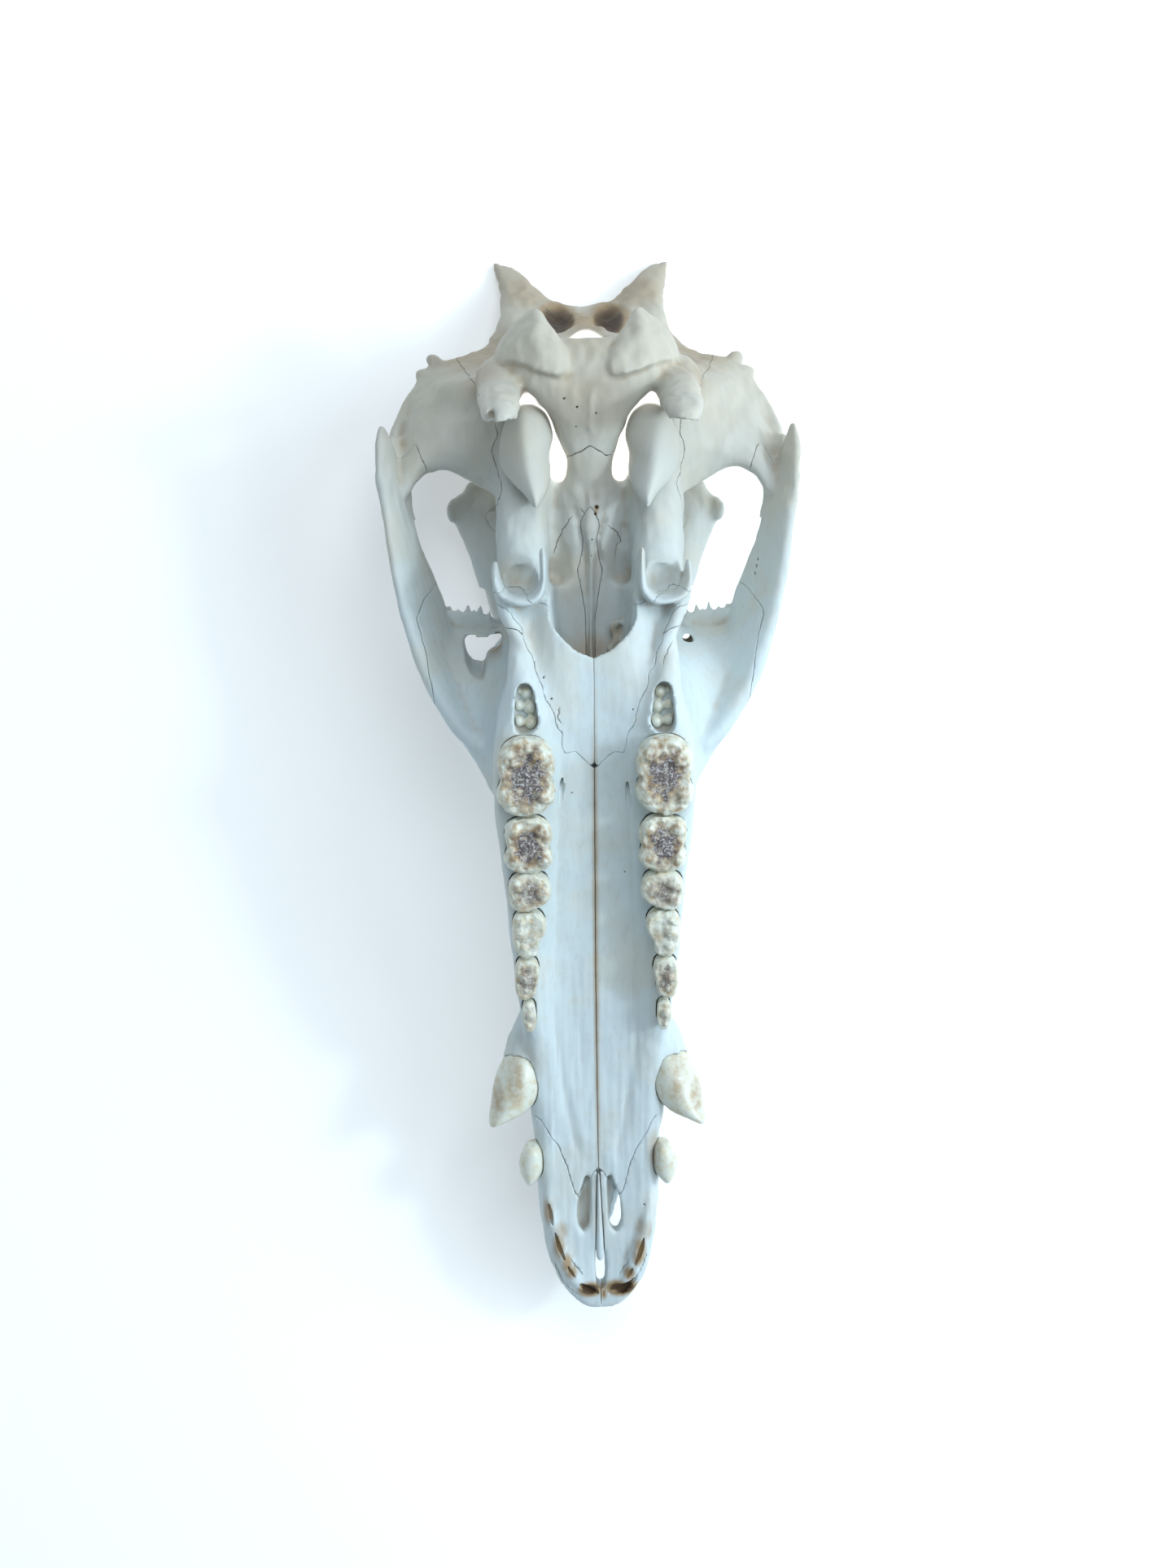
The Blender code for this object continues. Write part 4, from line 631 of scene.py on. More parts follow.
def premaxilla_body():
    """The end of the snout."""
    return slices("premaxilla", 'y', [
        (SNOUT_TIP, [(0, -8.8), (1.6, -9), (3.4, -8), (3.9, -6.8), (3.2, -5.4), (1.6, -4.8), (0, -4.8)]),
        (-163, [(0, -10.5), (4.3, -11), (6.8, -9.5), (7.6, -7), (6.4, -4.7), (3.5, -4.0), (0, -4.0)]),
        (-157.5, [(0, -12), (7, -13), (10.8, -11), (11.9, -7), (10.2, -4.2), (5, -3.6), (0, -3.8)]),
        (-150, [(0, -11), (8, -13.5), (13.7, -14), (15.2, -8), (13.2, -3.8), (7, -4), (0, -4.4)]),
        (-141, [(0, -9), (8, -10.5), (14.9, -17.5), (17.1, -10), (15.0, -3.8), (8, -4.2), (0, -4.6)]),
        (-131, [(0, -8.4), (8, -9.5), (14.8, -21), (18.0, -12), (16.0, -4.2), (9, -4.4), (0, -4.8)]),
        (-120, [(0, -8.4), (8, -9.5), (14.4, -27), (18.4, -14), (16.5, -4.6), (9, -4.8), (0, -5)]),
        (-108, [(0, -8.4), (8, -9.5), (14.6, -30), (19.2, -14), (16.4, -4.8), (9, -4.8), (0, -4.8)]),
        (-98, [(0, -8.4), (8, -9.5), (14.8, -30), (20.2, -14), (16.4, -4.4), (9, -4.9), (0, -5)]),
    ], count=44, around=60, mirror=True)


def nasal_process():
    """The right side of the nose opening, up to the nasal bone."""
    return limb("nasal_process", [
        (14.6, -146, -14.5, 1.4, 3), (14.9, -136, -20, 1.6, 5), (14.3, -124, -28, 1.8, 6),
        (13.4, -110, -35, 2.0, 7), (13.0, -98, -38, 2.0, 7),
    ])


def nasal_tips():
    """The free ends of the nasal bones, over the nose opening."""
    def row(y, half_width, top, thick):
        return (y, [(0, top), (half_width * 0.6, top + 0.5), (half_width, top + 2.2),
                    (half_width * 0.96, top + thick), (half_width * 0.5, top + thick - 0.4),
                    (0, top + thick)])
    return slices("nasal_tips", 'y', [
        row(NASAL_TIP[1], 2.4, NASAL_TIP[2], 3),
        row(-149, 4.6, -36.8, 3.6),
        row(-142, 6.8, -38, 4),
        row(-129, 9.4, -40, 4.4),
        row(-112, 11, -42.8, 4.8),
        row(-98, 11.5, -46, 5),
    ], count=26, around=32, mirror=True)


# The hollows

def nasal_cavity():
    """The inside of the nose, open at the snout and blind behind."""
    return slices("nasal_cavity", 'y', [
        (-174, [(0, -33), (7, -32), (11, -24), (10, -15), (5, -12.6), (0, -12.6)]),
        (-160, [(0, -33.5), (8, -32), (12, -24), (11, -16), (7, -13), (0, -12.8)]),
        (-148, [(0, -34), (8, -33), (12.6, -24), (11.8, -16), (8, -11.5), (0, -11)]),
        (-130, [(0, -36), (9, -35), (12.8, -26), (12.8, -16), (8, -9.6), (0, -9)]),
        (-112, [(0, -38.5), (9, -38), (12.0, -30), (13, -16), (9, -9.8), (0, -9)]),
        (-90, [(0, -43.5), (10, -42.5), (12.6, -32), (13.6, -16), (9, -10.5), (0, -10)]),
        (-66, [(0, -48), (10.5, -47), (13, -34), (14, -18), (9, -13), (0, -13)]),
        (-52, [(0, -46), (7, -45), (9, -34), (9, -22), (6, -17), (0, -17)]),
    ], count=36, around=44, mirror=True)


def choana():
    """The passage behind the palate, blind at its front end."""
    return slices("choana", 'y', [
        (0, [(0, -27), (3.5, -26), (5.5, -21), (5.5, -15), (3.5, -11.5), (0, -11)]),
        (18, [(0, -31), (6, -30), (9, -24), (9, -16), (6, -10.5), (0, -9.5)]),
        (34, [(0, -34.5), (7.5, -33.5), (10.2, -26), (10.4, -16), (7, -9), (0, -7.8)]),
        (46, [(0, -36), (8, -35), (11, -28), (11.4, -16), (11.2, -6), (0, 8)]),
        (56, [(0, -36.5), (7.8, -35.5), (10.6, -29), (12, -18), (13, -2), (0, 12)]),
        (68, [(0, -35.6), (5.6, -35.2), (9.2, -29.6), (11.8, -19), (14.4, -2), (0, 12)]),
        (80, [(0, -32.8), (4.8, -32.4), (8.8, -28), (12.4, -20), (16, -4), (0, 10)]),
        (90, [(0, -29.2), (4, -29), (8, -26.8), (12, -21), (16, -6), (0, 8)]),
        (98, [(0, -27.4), (4, -27.3), (7, -26.4), (10, -24), (12, -14), (0, 2)]),
    ], count=44, around=44, mirror=True)


def choana_mouth():
    """The open floor of the passage, a rounded V in plan."""
    half = [(0, 35.2), (1.6, 37.0), (4.4, 39.2), (7.4, 40.8), (9.6, 43.5), (11.2, 48), (12.2, 54), (12.6, 62),
            (12.4, 74), (9, 82), (0, 84)]
    return prism("choana_mouth", mirrored_outline(half), -24, 8)


def basal_slit():
    """The gap beside the base, round the inner side of the right bulla."""
    return limb("slit", [
        (9.0, 84.8, -30, 2.1, 26), (9.3, 88.5, -30, 2.7, 26), (10.0, 92.6, -30, 2.1, 26),
        (10.7, 96.2, -30, 1.2, 26), (11.9, 100.4, -30, 0.9, 26), (13.8, 103.8, -30, 0.9, 26),
        (17.2, 105.8, -30, 0.8, 20),
    ], count=30, power=3)


def pterygoid_fossa():
    """The right pocket between the palate's hook and the steep front edge of the buttress."""
    return slices("fossa", 'x', [
        (14.9, [(60.6, -16), (60, -17.2), (58.6, -17.6), (56.6, -17), (55.8, -14), (56, -9), (59.4, -5),
                (61, -11)]),
        (16.6, [(62.2, -16), (61.4, -18.4), (60, -19.8), (55.8, -20.2), (53.8, -16), (53.8, -8), (60, -2),
                (62.6, -9)]),
        (20.4, [(61.8, -16), (61, -18.8), (60, -20.6), (55.2, -21), (53.2, -16), (53.2, -8), (60, -2),
                (62.2, -9)]),
        (24.0, [(61, -16), (60.4, -18.6), (59.6, -20.2), (56, -20.6), (54.2, -16), (54.2, -8), (59.4, -2),
                (61.4, -9)]),
        (26.2, [(59.4, -16), (59, -18), (58.6, -19), (57.6, -18.4), (57.2, -14), (57.2, -9), (58.8, -4),
                (59.8, -10)]),
    ], count=18, around=36)


def foramen_magnum():
    """The opening for the spinal cord, and the part of the brain's hollow that it shows."""
    return limb("foramen", [
        (0, 146, -47, 24, 20), (0, 134, -49, 15, 14.4), (0, 126.5, -50, 10, 12), (0, 119, -50, 8.0, 11),
        (0, 108, -58, 13, 15), (0, 96, -63, 16, 18), (0, 86, -65, 11, 13),
    ], around=32)


def nuchal_hollow():
    """The right hollow in the back of the head, beside the middle pillar."""
    return blob("nuchal_hollow", (7.6, 131.8, -86), (5.5, 8.0, 22.5), turn=(15, 0, 0))


def orbit_front():
    """The front of the right orbit, over its thin floor and under the brow."""
    return slices("orbit", 'y', [
        (24.5, [(35, -78), (44, -80), (52, -76), (52, -66), (44, -62), (36, -64)]),
        (28, [(30.5, -84), (46, -90), (60, -86), (60, -66), (46, -58.5), (31.5, -62)]),
        (33, [(30, -88), (46, -96), (64, -90), (64, -66), (48, -56.5), (30, -59)]),
        (39, [(33, -88), (46, -96), (64, -90), (64, -66), (50, -56.5), (30.5, -58)]),
        (46, [(35, -88), (46, -96), (64, -90), (64, -66), (51, -56.5), (31, -58)]),
    ], count=16, around=36)


def orbit_floor_hole():
    """The ragged hole through the floor of the left orbit."""
    outline = [(-26.4, 36.0), (-31.6, 34.6), (-37.4, 35.2), (-37.6, 31), (-35.8, 26.6), (-32.2, 25.0),
               (-31.2, 28.8), (-27.2, 30.4)]
    return prism("orbit_hole", eased(outline, 24, closed=True), -75, -25)


def palatine_fissure():
    """The right slit through the front of the palate."""
    outline = [(2.7, -120.8), (3.6, -121.4), (5.2, -126), (6.4, -131), (6.7, -137), (5.4, -140),
               (3.9, -139.6), (2.9, -136), (2.6, -128)]
    return prism("fissure", eased(outline, 30, closed=True), -22, 4)


def fissure_shelves():
    """Thin bone in the palatine fissures, which fills the left one and half of the right one."""
    return [
        limb("shelf", [(-4.2, -117, -8.6, 2.4, 0.8), (-4.7, -127, -8.8, 2.9, 0.8),
                       (-4.9, -134, -9.0, 3.0, 0.8), (-4.8, -141.5, -9.2, 2.6, 0.8)]),
        limb("shelf", [(4.2, -117, -8.6, 2.4, 0.8), (3.9, -124, -8.8, 2.0, 0.8), (3.4, -130, -9.0, 1.3, 0.8),
                       (2.9, -136, -9.2, 0.6, 0.7)]),
    ]


def interincisive_gap():
    """The gap between the two halves of the snout's tip, where the vomer ends."""
    half = [(0, -158.6), (1.2, -158.2), (1.5, -153), (1.5, -147.5), (1.3, -145.4), (0, -145)]
    return prism("gap", mirrored_outline(half), -22, 4)


CRYPT_FLOOR = -5.5


def molar_crypt(inside=0.0, floor=CRYPT_FLOOR):
    """The right crypt of the last molar, which hasn't come through."""
    outline = [(19.8, 29.4), (17.6, 27.6), (16.6, 22), (16.0, 17.5), (18.0, 14.8), (21.6, 14.6),
               (22.9, 18), (22.6, 23), (21.8, 28)]
    return prism("crypt", let_out(eased(outline, 24, closed=True), -inside), floor, 6)


# Marks cut into the finished surface

def joined(name, pieces):
    """Closed pieces that don't touch, as one object."""
    bm = bmesh.new()
    for piece in pieces:
        bm.from_mesh(piece.data)
        bpy.data.objects.remove(piece)
    return placed(name, bm)


def surface_height(ground, x, y):
    """Where the side that faces the viewer lies, in mm."""
    hit = ground.ray_cast(Vector((x, y, ABOVE)) * MM, Vector((0, 0, -1)))[0]
    if hit is None:
        raise RuntimeError(f"no bone at {x:.1f}, {y:.1f}")
    return hit.z / MM


def crack(ground, path):
    """A thin slit along a path in plan."""
    length = sum((Vector(b) - Vector(a)).length for a, b in zip(path, path[1:]))
    rows = eased(path, max(6, int(length / 0.5)))
    last = len(rows) - 1
    rings = []
    for k, (x, y) in enumerate(rows):
        way = (Vector(rows[min(last, k + 1)]) - Vector(rows[max(0, k - 1)])).normalized()
        waver = noise.noise((x * 0.9, y * 0.9, 0.5)) * 0.6 * min(1, k / 3, (last - k) / 3)
        x -= way.y * waver
        y += way.x * waver
        z = surface_height(ground, x, y)
        half = CRACK_WIDTH / 2 * min(1, (k + 0.5) * 0.3, (last - k + 0.5) * 0.3)
        rings.append([(x - way.y * s * half, y + way.x * s * half, z + h)
                      for s, h in ((-1, 0.5), (1, 0.5), (1, -CRACK_DEPTH), (-1, -CRACK_DEPTH))])
    return skin("crack", rings)


def pit(ground, x, y, radius):
    """A small foramen."""
    z = surface_height(ground, x, y)
    return limb("pit", [(x, y, z + 0.6, radius, radius), (x, y, z - PIT_DEPTH, radius * 0.6, radius * 0.6)],
                up=(0, 1, 0), count=4, around=10, rounded=False)


def snout_sockets():
    """The empty sockets at the front of the snout, which differ from side to side."""
    return [limb("socket", rows, power=2.4) for rows in (
        [(2.8, -159.9, -3.4, 0.6, 1.8), (6.4, -158.2, -3.2, 1.5, 2.4), (10.2, -155.4, -2.8, 0.8, 1.8)],
        [(-1.0, -159.6, -3.4, 0.5, 1.8), (-3.2, -158.5, -3.2, 1.0, 2.2), (-5.9, -156.7, -3.0, 0.7, 1.6)],
        [(13.2, -141.5, -2.4, 0.3, 1.2), (12.3, -145.2, -1.6, 0.8, 2.2), (10.5, -149.6, -1.8, 0.4, 1.4)],
        [(-13.4, -139.4, -2.6, 0.3, 1.2), (-12.3, -143.6, -1.6, 0.8, 2.2), (-10.9, -147.4, -1.8, 0.4, 1.4)],
        [(9.6, -151.2, -1.8, 0.3, 1.2), (8.8, -152.8, -1.8, 0.6, 1.6), (7.8, -154.0, -2.2, 0.3, 1.2)],
        [(-9.7, -150.2, -1.8, 0.3, 1.2), (-8.8, -152.2, -1.8, 0.6, 1.6), (-7.9, -153.6, -2.2, 0.3, 1.2)],
        [(-15.2, -130.4, -3.4, 0.3, 1.0), (-14.6, -133.8, -3.0, 0.7, 1.4), (-14.2, -136.6, -3.2, 0.3, 1.0)],
    )]


def palatine_foramen():
    """The right opening of the canal through the palate, which runs out forwards into a groove."""
    return limb("palatine_foramen", [(9.0, 10.4, -9.6, 0.4, 1.0), (9.2, 7.4, -7.2, 0.8, 1.6),
                                     (9.5, 3.2, -5.6, 1.0, 1.2), (9.7, -2.0, -4.6, 0.9, 0.7),
                                     (9.7, -9.0, -4.0, 0.7, 0.25)])


def cheek_holes():
    """Small openings in the right arch and in the floor of the right orbit."""
    holes = [limb("hole", [(42.5, y, -35, r, r), (53, y - 0.5, -48, r * 0.8, r * 0.8)], count=4, around=10)
             for y, r in ((58.6, 0.55), (56.6, 0.65), (54.5, 0.5))]
    return holes + [
        limb("hole", [(x, y, -72, r, r), (x, y + 1, -44, r * 1.2, r)], up=(0, 1, 0), count=6, around=12)
        for x, y, r in ((29.6, 33.0, 1.5), (32.8, 30.8, 0.9), (35.6, 30.0, 1.1))]


# Sutures and cracks that lie within one bone or cross several, in plan
CRACKS = [
    [(-5.0, 73.0), (-7.8, 68.7), (-9.6, 64.7), (-10.8, 61.2)],
    [(5.2, 70.0), (7.5, 68.4), (9.3, 65.5), (7.7, 62.7), (7.5, 60.0)],
    [(-2.9, 75.6), (-2.1, 74.3), (-1.2, 72.9)],
    [(-9.9, 22.0), (-10.2, 19.4), (-9.6, 17.0)],
    [(8.9, -148.4), (7.2, -151.2), (5.6, -154.2)],
    [(-8.9, -148.0), (-7.3, -150.7), (-5.5, -153.4)],
    [(-13.9, -149.4), (-12.0, -154.2), (-9.6, -157.8), (-6.5, -160.8)],
    [(14.2, -147.2), (12.2, -152.2), (9.4, -157.2), (6.3, -160.6)],
    [(0.9, -159.0), (0.9, -161.2)],
    [(22.6, 40.0), (20.6, 36.6), (19.6, 33.4)],
]
PITS = [(-7.4, 107.4, 0.35), (-3.7, 105.0, 0.4), (1.8, 103.2, 0.3), (-4.0, 99.4, 0.25), (8.6, -27.6, 0.3),
        (-25.6, 88.4, 0.3), (-6.6, -3.6, 0.25), (11.0, 21.0, 0.3), (-12.2, 24.4, 0.35), (0.6, 66.0, 0.3),
        (0.4, 61.0, 0.25), (2.0, 75.6, 0.75), (1.6, 73.6, 0.5), (13.6, -131.0, 0.4), (-14.4, 30.4, 0.3)]


# Bodies that stay apart from the skull's own

def grown_slices(name, rows, grow, count):
    """A body through outlines across y, from the back, let out on every side and at both ends."""
    ends = {rows[0][0]: grow, rows[-1][0]: -grow}
    return slices(name, 'y', [(y + ends.get(y, 0), let_out(outline, grow)) for y, outline in rows],
                  count=count, around=36)


def bulla(grow=0.0):
    """The right tympanic bulla; grown, it is the seat that it stands in."""
    rows = [
        (105.4, [(15.4, -42), (15.8, -38), (17.6, -36.5), (20, -38), (21, -42), (18, -47)]),
        (102.4, [(12.8, -43), (13, -34.5), (18.6, -30.5), (22.2, -34), (23.4, -41), (18, -50)]),
        (96.5, [(11.4, -42), (11.4, -31.5), (18.6, -25), (23.8, -30.5), (25.4, -38), (18, -50)]),
        (91, [(12.3, -42), (12.4, -29), (18.2, -21.5), (24.4, -28.5), (26, -35.5), (18, -50)]),
        (87, [(12.0, -40), (12.1, -26), (17.8, -19), (23.2, -26.5), (25.2, -33.5), (18, -48)]),
        (83, [(12.2, -36), (12.4, -22), (16.9, -16.5), (20.5, -22.5), (22.0, -29.5), (17, -42)]),
        (80, [(13.4, -31), (13.6, -19.5), (16.2, -15), (18.2, -19.5), (18.8, -27), (16, -35)]),
        (77.4, [(15, -22), (15.2, -17.4), (15.9, -15.4), (16.6, -17.4), (16.8, -22), (15.9, -25)]),
    ]
    return grown_slices("bulla", rows, grow, count=40)


def canine(grow=0.0):
    """The right upper canine, a short broad leaf turned outwards; grown, it is its socket."""
    rows = [
        (-80.6, [(20.6, -16), (20.8, -12), (22.4, -11), (24.0, -12), (24.2, -16), (22.4, -18)]),
        (-83.6, [(19.4, -14), (19.6, -8.4), (22.2, -6.8), (25.4, -8.6), (26.0, -13), (22.5, -18)]),
        (-86, [(18.0, -14), (18.2, -7), (21.8, -4.0), (26.4, -6.8), (27.4, -12.6), (22.5, -18)]),
        (-90, [(17.4, -13), (17.4, -5.6), (22.2, -1.8), (27.8, -4.6), (29.6, -10.4), (23, -17)]),
        (-94, [(17.4, -11.6), (17.5, -4.6), (23.4, -0.8), (29.2, -3.4), (30.8, -8.4), (24, -14.6)]),
        (-98, [(18.8, -9.6), (19.2, -3.8), (25.2, -0.2), (30.2, -2.6), (31.4, -7), (25.6, -12)]),
        (-101.2, [(21.8, -7.4), (22.2, -3.2), (27.4, 0.2), (31.2, -1.8), (32.0, -5.6), (27.4, -9.4)]),
        (-103.2, [(26.0, -5.8), (26.4, -2.6), (29.6, 0.2), (31.8, -1.4), (32.3, -4.4), (29.8, -7)]),
        (-104.6, [(29.6, -4), (29.8, -2.4), (30.8, -0.8), (31.9, -1.8), (32.1, -3.6), (30.9, -5)]),
    ]
    return grown_slices("canine", rows, grow, count=44)


def vomer_tip(grow=0.0):
    """The end of the vomer, a long wedge between the two halves of the snout's tip."""
    return limb("vomer_tip", [(0, y, z, w + grow, h + grow) for y, z, w, h in (
        (-121.5, -5.6, 0.3, 1.3), (-128, -5.4, 0.6, 1.4), (-135, -5.2, 0.85, 1.5), (-142, -5.0, 1.15, 1.5),
        (-147.2, -4.9, 1.2, 1.4), (-148.4, -4.8, 0.9, 1.2))])


def third_incisor(grow=0.0):
    """The right outer incisor, a lobed oval that stands out from the side of the snout."""
    return slices("incisor", 'y', [(y, let_out(outline, grow)) for y, outline in (
        (-111.8 + grow, [(18.4, -8), (18.6, -4), (19.8, -3), (21.0, -4), (21.2, -8), (19.8, -10)]),
        (-113.6, [(16.4, -11), (17.6, -3), (19.8, -1.4), (22.2, -3), (22.4, -7), (18.8, -13)]),
        (-117.4, [(15.4, -13), (17.2, -3), (20.2, -0.8), (23.0, -2.6), (23.4, -6.6), (18.6, -14)]),
        (-120.6, [(15.8, -13), (17.6, -3), (20.4, -0.9), (22.8, -2.8), (23.0, -6.6), (18.8, -13)]),
        (-122.8, [(17.8, -9), (18.8, -3.4), (20.6, -1.4), (22.2, -3.4), (22.2, -6.6), (20, -10)]),
        (-124.2 - grow, [(19.6, -6.6), (19.8, -4), (20.6, -3), (21.4, -4), (21.4, -6.4), (20.6, -7.4)]),
    )], count=34, around=32)


# Crowns of the right cheek teeth, from the back: outline, height, and cusps as (x, y, radius, lower by)
CHEEK_TEETH = [
    ([(19.8, 15.2), (14.5, 13.9), (11.9, 10.0), (11.5, 5.1), (12.4, 2.4), (11.1, -0.9), (12.5, -4.4),
      (15.8, -7.2), (20.0, -8.0), (24.8, -7.4), (27.6, -3.4), (28.1, -0.6), (27.0, 2.4), (27.9, 6.4),
      (26.6, 11.8), (23.6, 14.4)], 9.6, [
        (15.6, 9.6, 3.5, 0), (24.2, 8.6, 3.6, 0.2), (14.9, -1.8, 3.5, 0), (24.8, -2.2, 3.5, 0.2),
        (19.6, 4.0, 2.2, 1.4), (19.0, 12.8, 1.9, 1.6), (22.6, 13.0, 1.4, 2.0), (16.2, 13.2, 1.3, 2.4),
        (19.6, -6.0, 2.0, 1.4), (15.6, 3.6, 1.3, 2.2), (24.6, 3.4, 1.4, 2.2), (20.2, -1.6, 1.4, 2.0)]),
    ([(20.1, -8.3), (15.3, -8.8), (12.5, -12.2), (12.4, -15.2), (13.3, -17.4), (12.3, -20.0), (13.0, -22.8),
      (15.4, -24.4), (20.3, -25.2), (25.0, -23.6), (26.2, -20.2), (25.4, -17.2), (26.2, -13.4),
      (24.6, -9.8)], 8.8, [
        (15.4, -12.2, 3.0, 0), (23.4, -12.0, 3.0, 0.2), (15.2, -20.6, 3.0, 0), (23.2, -20.4, 3.0, 0.2),
        (19.2, -16.2, 1.7, 1.4), (19.2, -9.8, 1.4, 1.4), (19.2, -23.6, 1.4, 1.6), (15.2, -16.4, 1.0, 2.0)]),
    ([(20.6, -24.7), (14.6, -26.0), (12.9, -29.2), (13.4, -33.0), (17.2, -35.4), (21.7, -36.6), (24.4, -34.8),
      (25.3, -31.1), (24.6, -26.8)], 8.8, [
        (22.2, -28.2, 2.5, 0), (22.4, -33.2, 2.4, 0.2), (16.2, -30.2, 2.8, 0.6), (18.8, -26.4, 1.3, 1.6),
        (18.6, -34.4, 1.2, 1.8)]),
    ([(20.2, -36.6), (16.8, -36.6), (14.4, -39.4), (14.8, -43.0), (16.4, -45.6), (17.2, -49.6), (20.0, -50.6),
      (22.6, -49.4), (24.2, -45.4), (24.2, -39.6), (22.8, -37.0)], 8.2, [
        (21.6, -42.8, 2.3, 0), (21.6, -39.4, 1.8, 0.8), (21.0, -47.0, 1.8, 0.8), (17.0, -40.2, 2.0, 1.8),
        (18.6, -48.6, 1.1, 2.6)]),
    ([(20.2, -50.8), (17.4, -51.6), (16.4, -54.8), (17.2, -58.6), (18.0, -62.2), (21.4, -63.6), (23.4, -61.6),
      (23.8, -57.0), (23.2, -52.0)], 7.0, [
        (21.0, -56.6, 1.9, 0), (21.4, -53.2, 1.3, 1.0), (20.8, -60.4, 1.5, 1.0), (18.2, -54.0, 1.0, 2.0)]),
    ([(20.0, -64.2), (18.2, -65.0), (17.6, -68.4), (17.9, -71.8), (19.4, -73.8), (21.0, -72.4), (21.9, -68.4),
      (21.5, -65.2)], 5.0, [(19.9, -68.2, 1.4, 0), (20.0, -71.4, 1.0, 0.9), (20.0, -65.8, 0.9, 1.1)]),
]


def sampled(points):
    """Smooth noise at each point."""
    return np.array([noise.noise(point) for point in points.tolist()])


def outwards(obj):
    """Each vertex with its normal, taken before any of them is moved."""
    return zip(obj.data.vertices, [vert.normal.copy() for vert in obj.data.vertices])


def crown_body(outline, top, grow=0.0):
    """The crown under its cusps and the root end that is sunk in the jaw; grown, its socket."""
    around = int(2.5 * len(outline))
    middle = [sum(values) / len(outline) for values in zip(*outline)]
    rings = []
    for z, share in ((-7 - grow, 0.7), (-3, 0.86), (0.5, 0.95), (3, 1.0), (top - 3.0, 0.97),
                     (top - 1.9, 0.86)):
        points = let_out([[m + (v - m) * share for v, m in zip(point, middle)] for point in outline], grow)
        rings.append([(x, y, z) for x, y in eased(points, around, closed=True)])
    return skin("crown", rings)


def cheek_tooth(outline, top, cusps, draw):
    """One crown, with blunt cusps and wrinkled enamel between them."""
    pieces = [crown_body(outline, top)]
    for x, y, r, lower in cusps:
        lean = (draw.uniform(-8, 8), draw.uniform(-8, 8), draw.uniform(0, 90))
        stretch = draw.uniform(0.88, 1.12)
        pieces.append(blob("cusp", (x, y, top - 1.5 * r - lower), (r * stretch, r / stretch, 1.5 * r),
                           lean, 2))
    tooth = fused("tooth", pieces, TOOTH_VOXEL, 3)
    for vert, outward in outwards(tooth):
        p = vert.co / MM
        above_gum = max(0, min(1, (p.z - 2.5) / 2))
        fold = abs(noise.noise(p / 2.9)) + 0.35 * abs(noise.noise(p / 1.2))
        pitted = 0.45 * abs(noise.noise(p / 0.8)) * outward.z
        vert.co -= outward * ((fold - 0.2) * 0.75 + pitted) * above_gum * MM
    return tooth


def last_molar():
    """The tips of the right last molar, at the bottom of its crypt."""
    tips = [blob("tip", (x, y, CRYPT_FLOOR - 0.6), (r, r * 1.1, r * 1.6), level=2) for x, y, r in (
        (18.0, 17.2, 2.1), (21.4, 17.6, 1.8), (18.4, 21.6, 2.0), (21.4, 22.2, 1.7), (19.2, 25.8, 1.9),
        (21.4, 26.4, 1.1))]
    return cut(fused("tooth", tips, TOOTH_VOXEL, 2), molar_crypt(0.4, CRYPT_FLOOR + 0.1), 'INTERSECT')


# The groove along the right side of the palate, as y and x
PALATE_GROOVE = ((-119, 4.5), (-110, 7), (-92, 10), (-74, 12), (-35, 10.6), (8, 9))


def relief(body):
    """Faint streaks along the bone, a groove down each side of the palate, and a rougher nape."""
    where = coordinates(body.data) / MM
    x, y, z = where.T
    nape = np.clip((y - 112) / 14, 0, 1)
    snout = np.clip((-30 - y) / 30, 0, 1)
    rear = step_between(50, 85, y)
    rise = sampled(where / (1.9, 10, 1.9)) * 0.13
    rise += sampled(where / 3.4) * (0.12 + 0.05 * rear + 0.16 * nape)
    rise += (0.16 - abs(sampled(where / (5, 9, 7)))) * 0.7 * rear
    rise += sampled(where / (0.9, 22, 3)) * 0.22 * snout
    rise += sampled(where / 9) * (0.35 + 0.25 * rear)
    beside = abs(x) - np.interp(y, *zip(*PALATE_GROOVE))
    groove = 0.4 * np.exp(-(beside / 1.3) ** 2) * step_between(-119, -112, y)
    rise -= groove * (1 - step_between(2, 9, y)) * (z > -8)
    moved = (where + normals(body.data) * rise[:, None]) * MM
    body.data.vertices.foreach_set("co", moved.ravel())
    body.data.update()


def whole_skull():
    """The skull in one piece, with its hollows."""
    masses = [face_body(), roof(), braincase(), basicranium(), nuchal_plate()]
    masses += both(cheek(), squamosal_shelf(), pterygoid_mass(), tuber())
    core = fused("core", masses, CORE_VOXEL, CORE_PASSES)
    forms = [core, premaxilla_body(), nasal_tips(), vomer_keel()]
    forms += both(jugal(), squamosal_bar(), condyle_root(), paracondylar(), postorbital(), brow(),
                  canine_socket(), nasal_process(), palatine_ridge(), temporal_ridge(), crest_tip(),
                  *crest_knobs())
    body = fused("skull", forms, FINE_VOXEL, int(FORM_SOFTENING / FINE_VOXEL ** 2))
    hollows = [nasal_cavity(), foramen_magnum(), interincisive_gap(), orbit_floor_hole(),
               paracondylar_notch()]
    hollows += both(basal_slit(), pterygoid_fossa(), nuchal_hollow(), palatine_fissure(), molar_crypt(),
                    orbit_front())
    passage = fused("passage", [choana(), choana_mouth()], FINE_VOXEL, 1)
    for ridge in (vomer_keel(), *roof_folds()):
        cut(passage, ridge, 'DIFFERENCE')
    cut(body, fused("hollows", hollows, FINE_VOXEL, 1), 'DIFFERENCE')
    cut(body, passage, 'DIFFERENCE')
    crisp = [body, base_ridge(), *fissure_shelves(), *deposit()]
    crisp += both(condyle(), pterygoid_rim(), socket_border(), orbit_edge(), *spikes())
    body = largest(fused("skull", crisp, FINE_VOXEL, 2))
    relief(body)
    return body


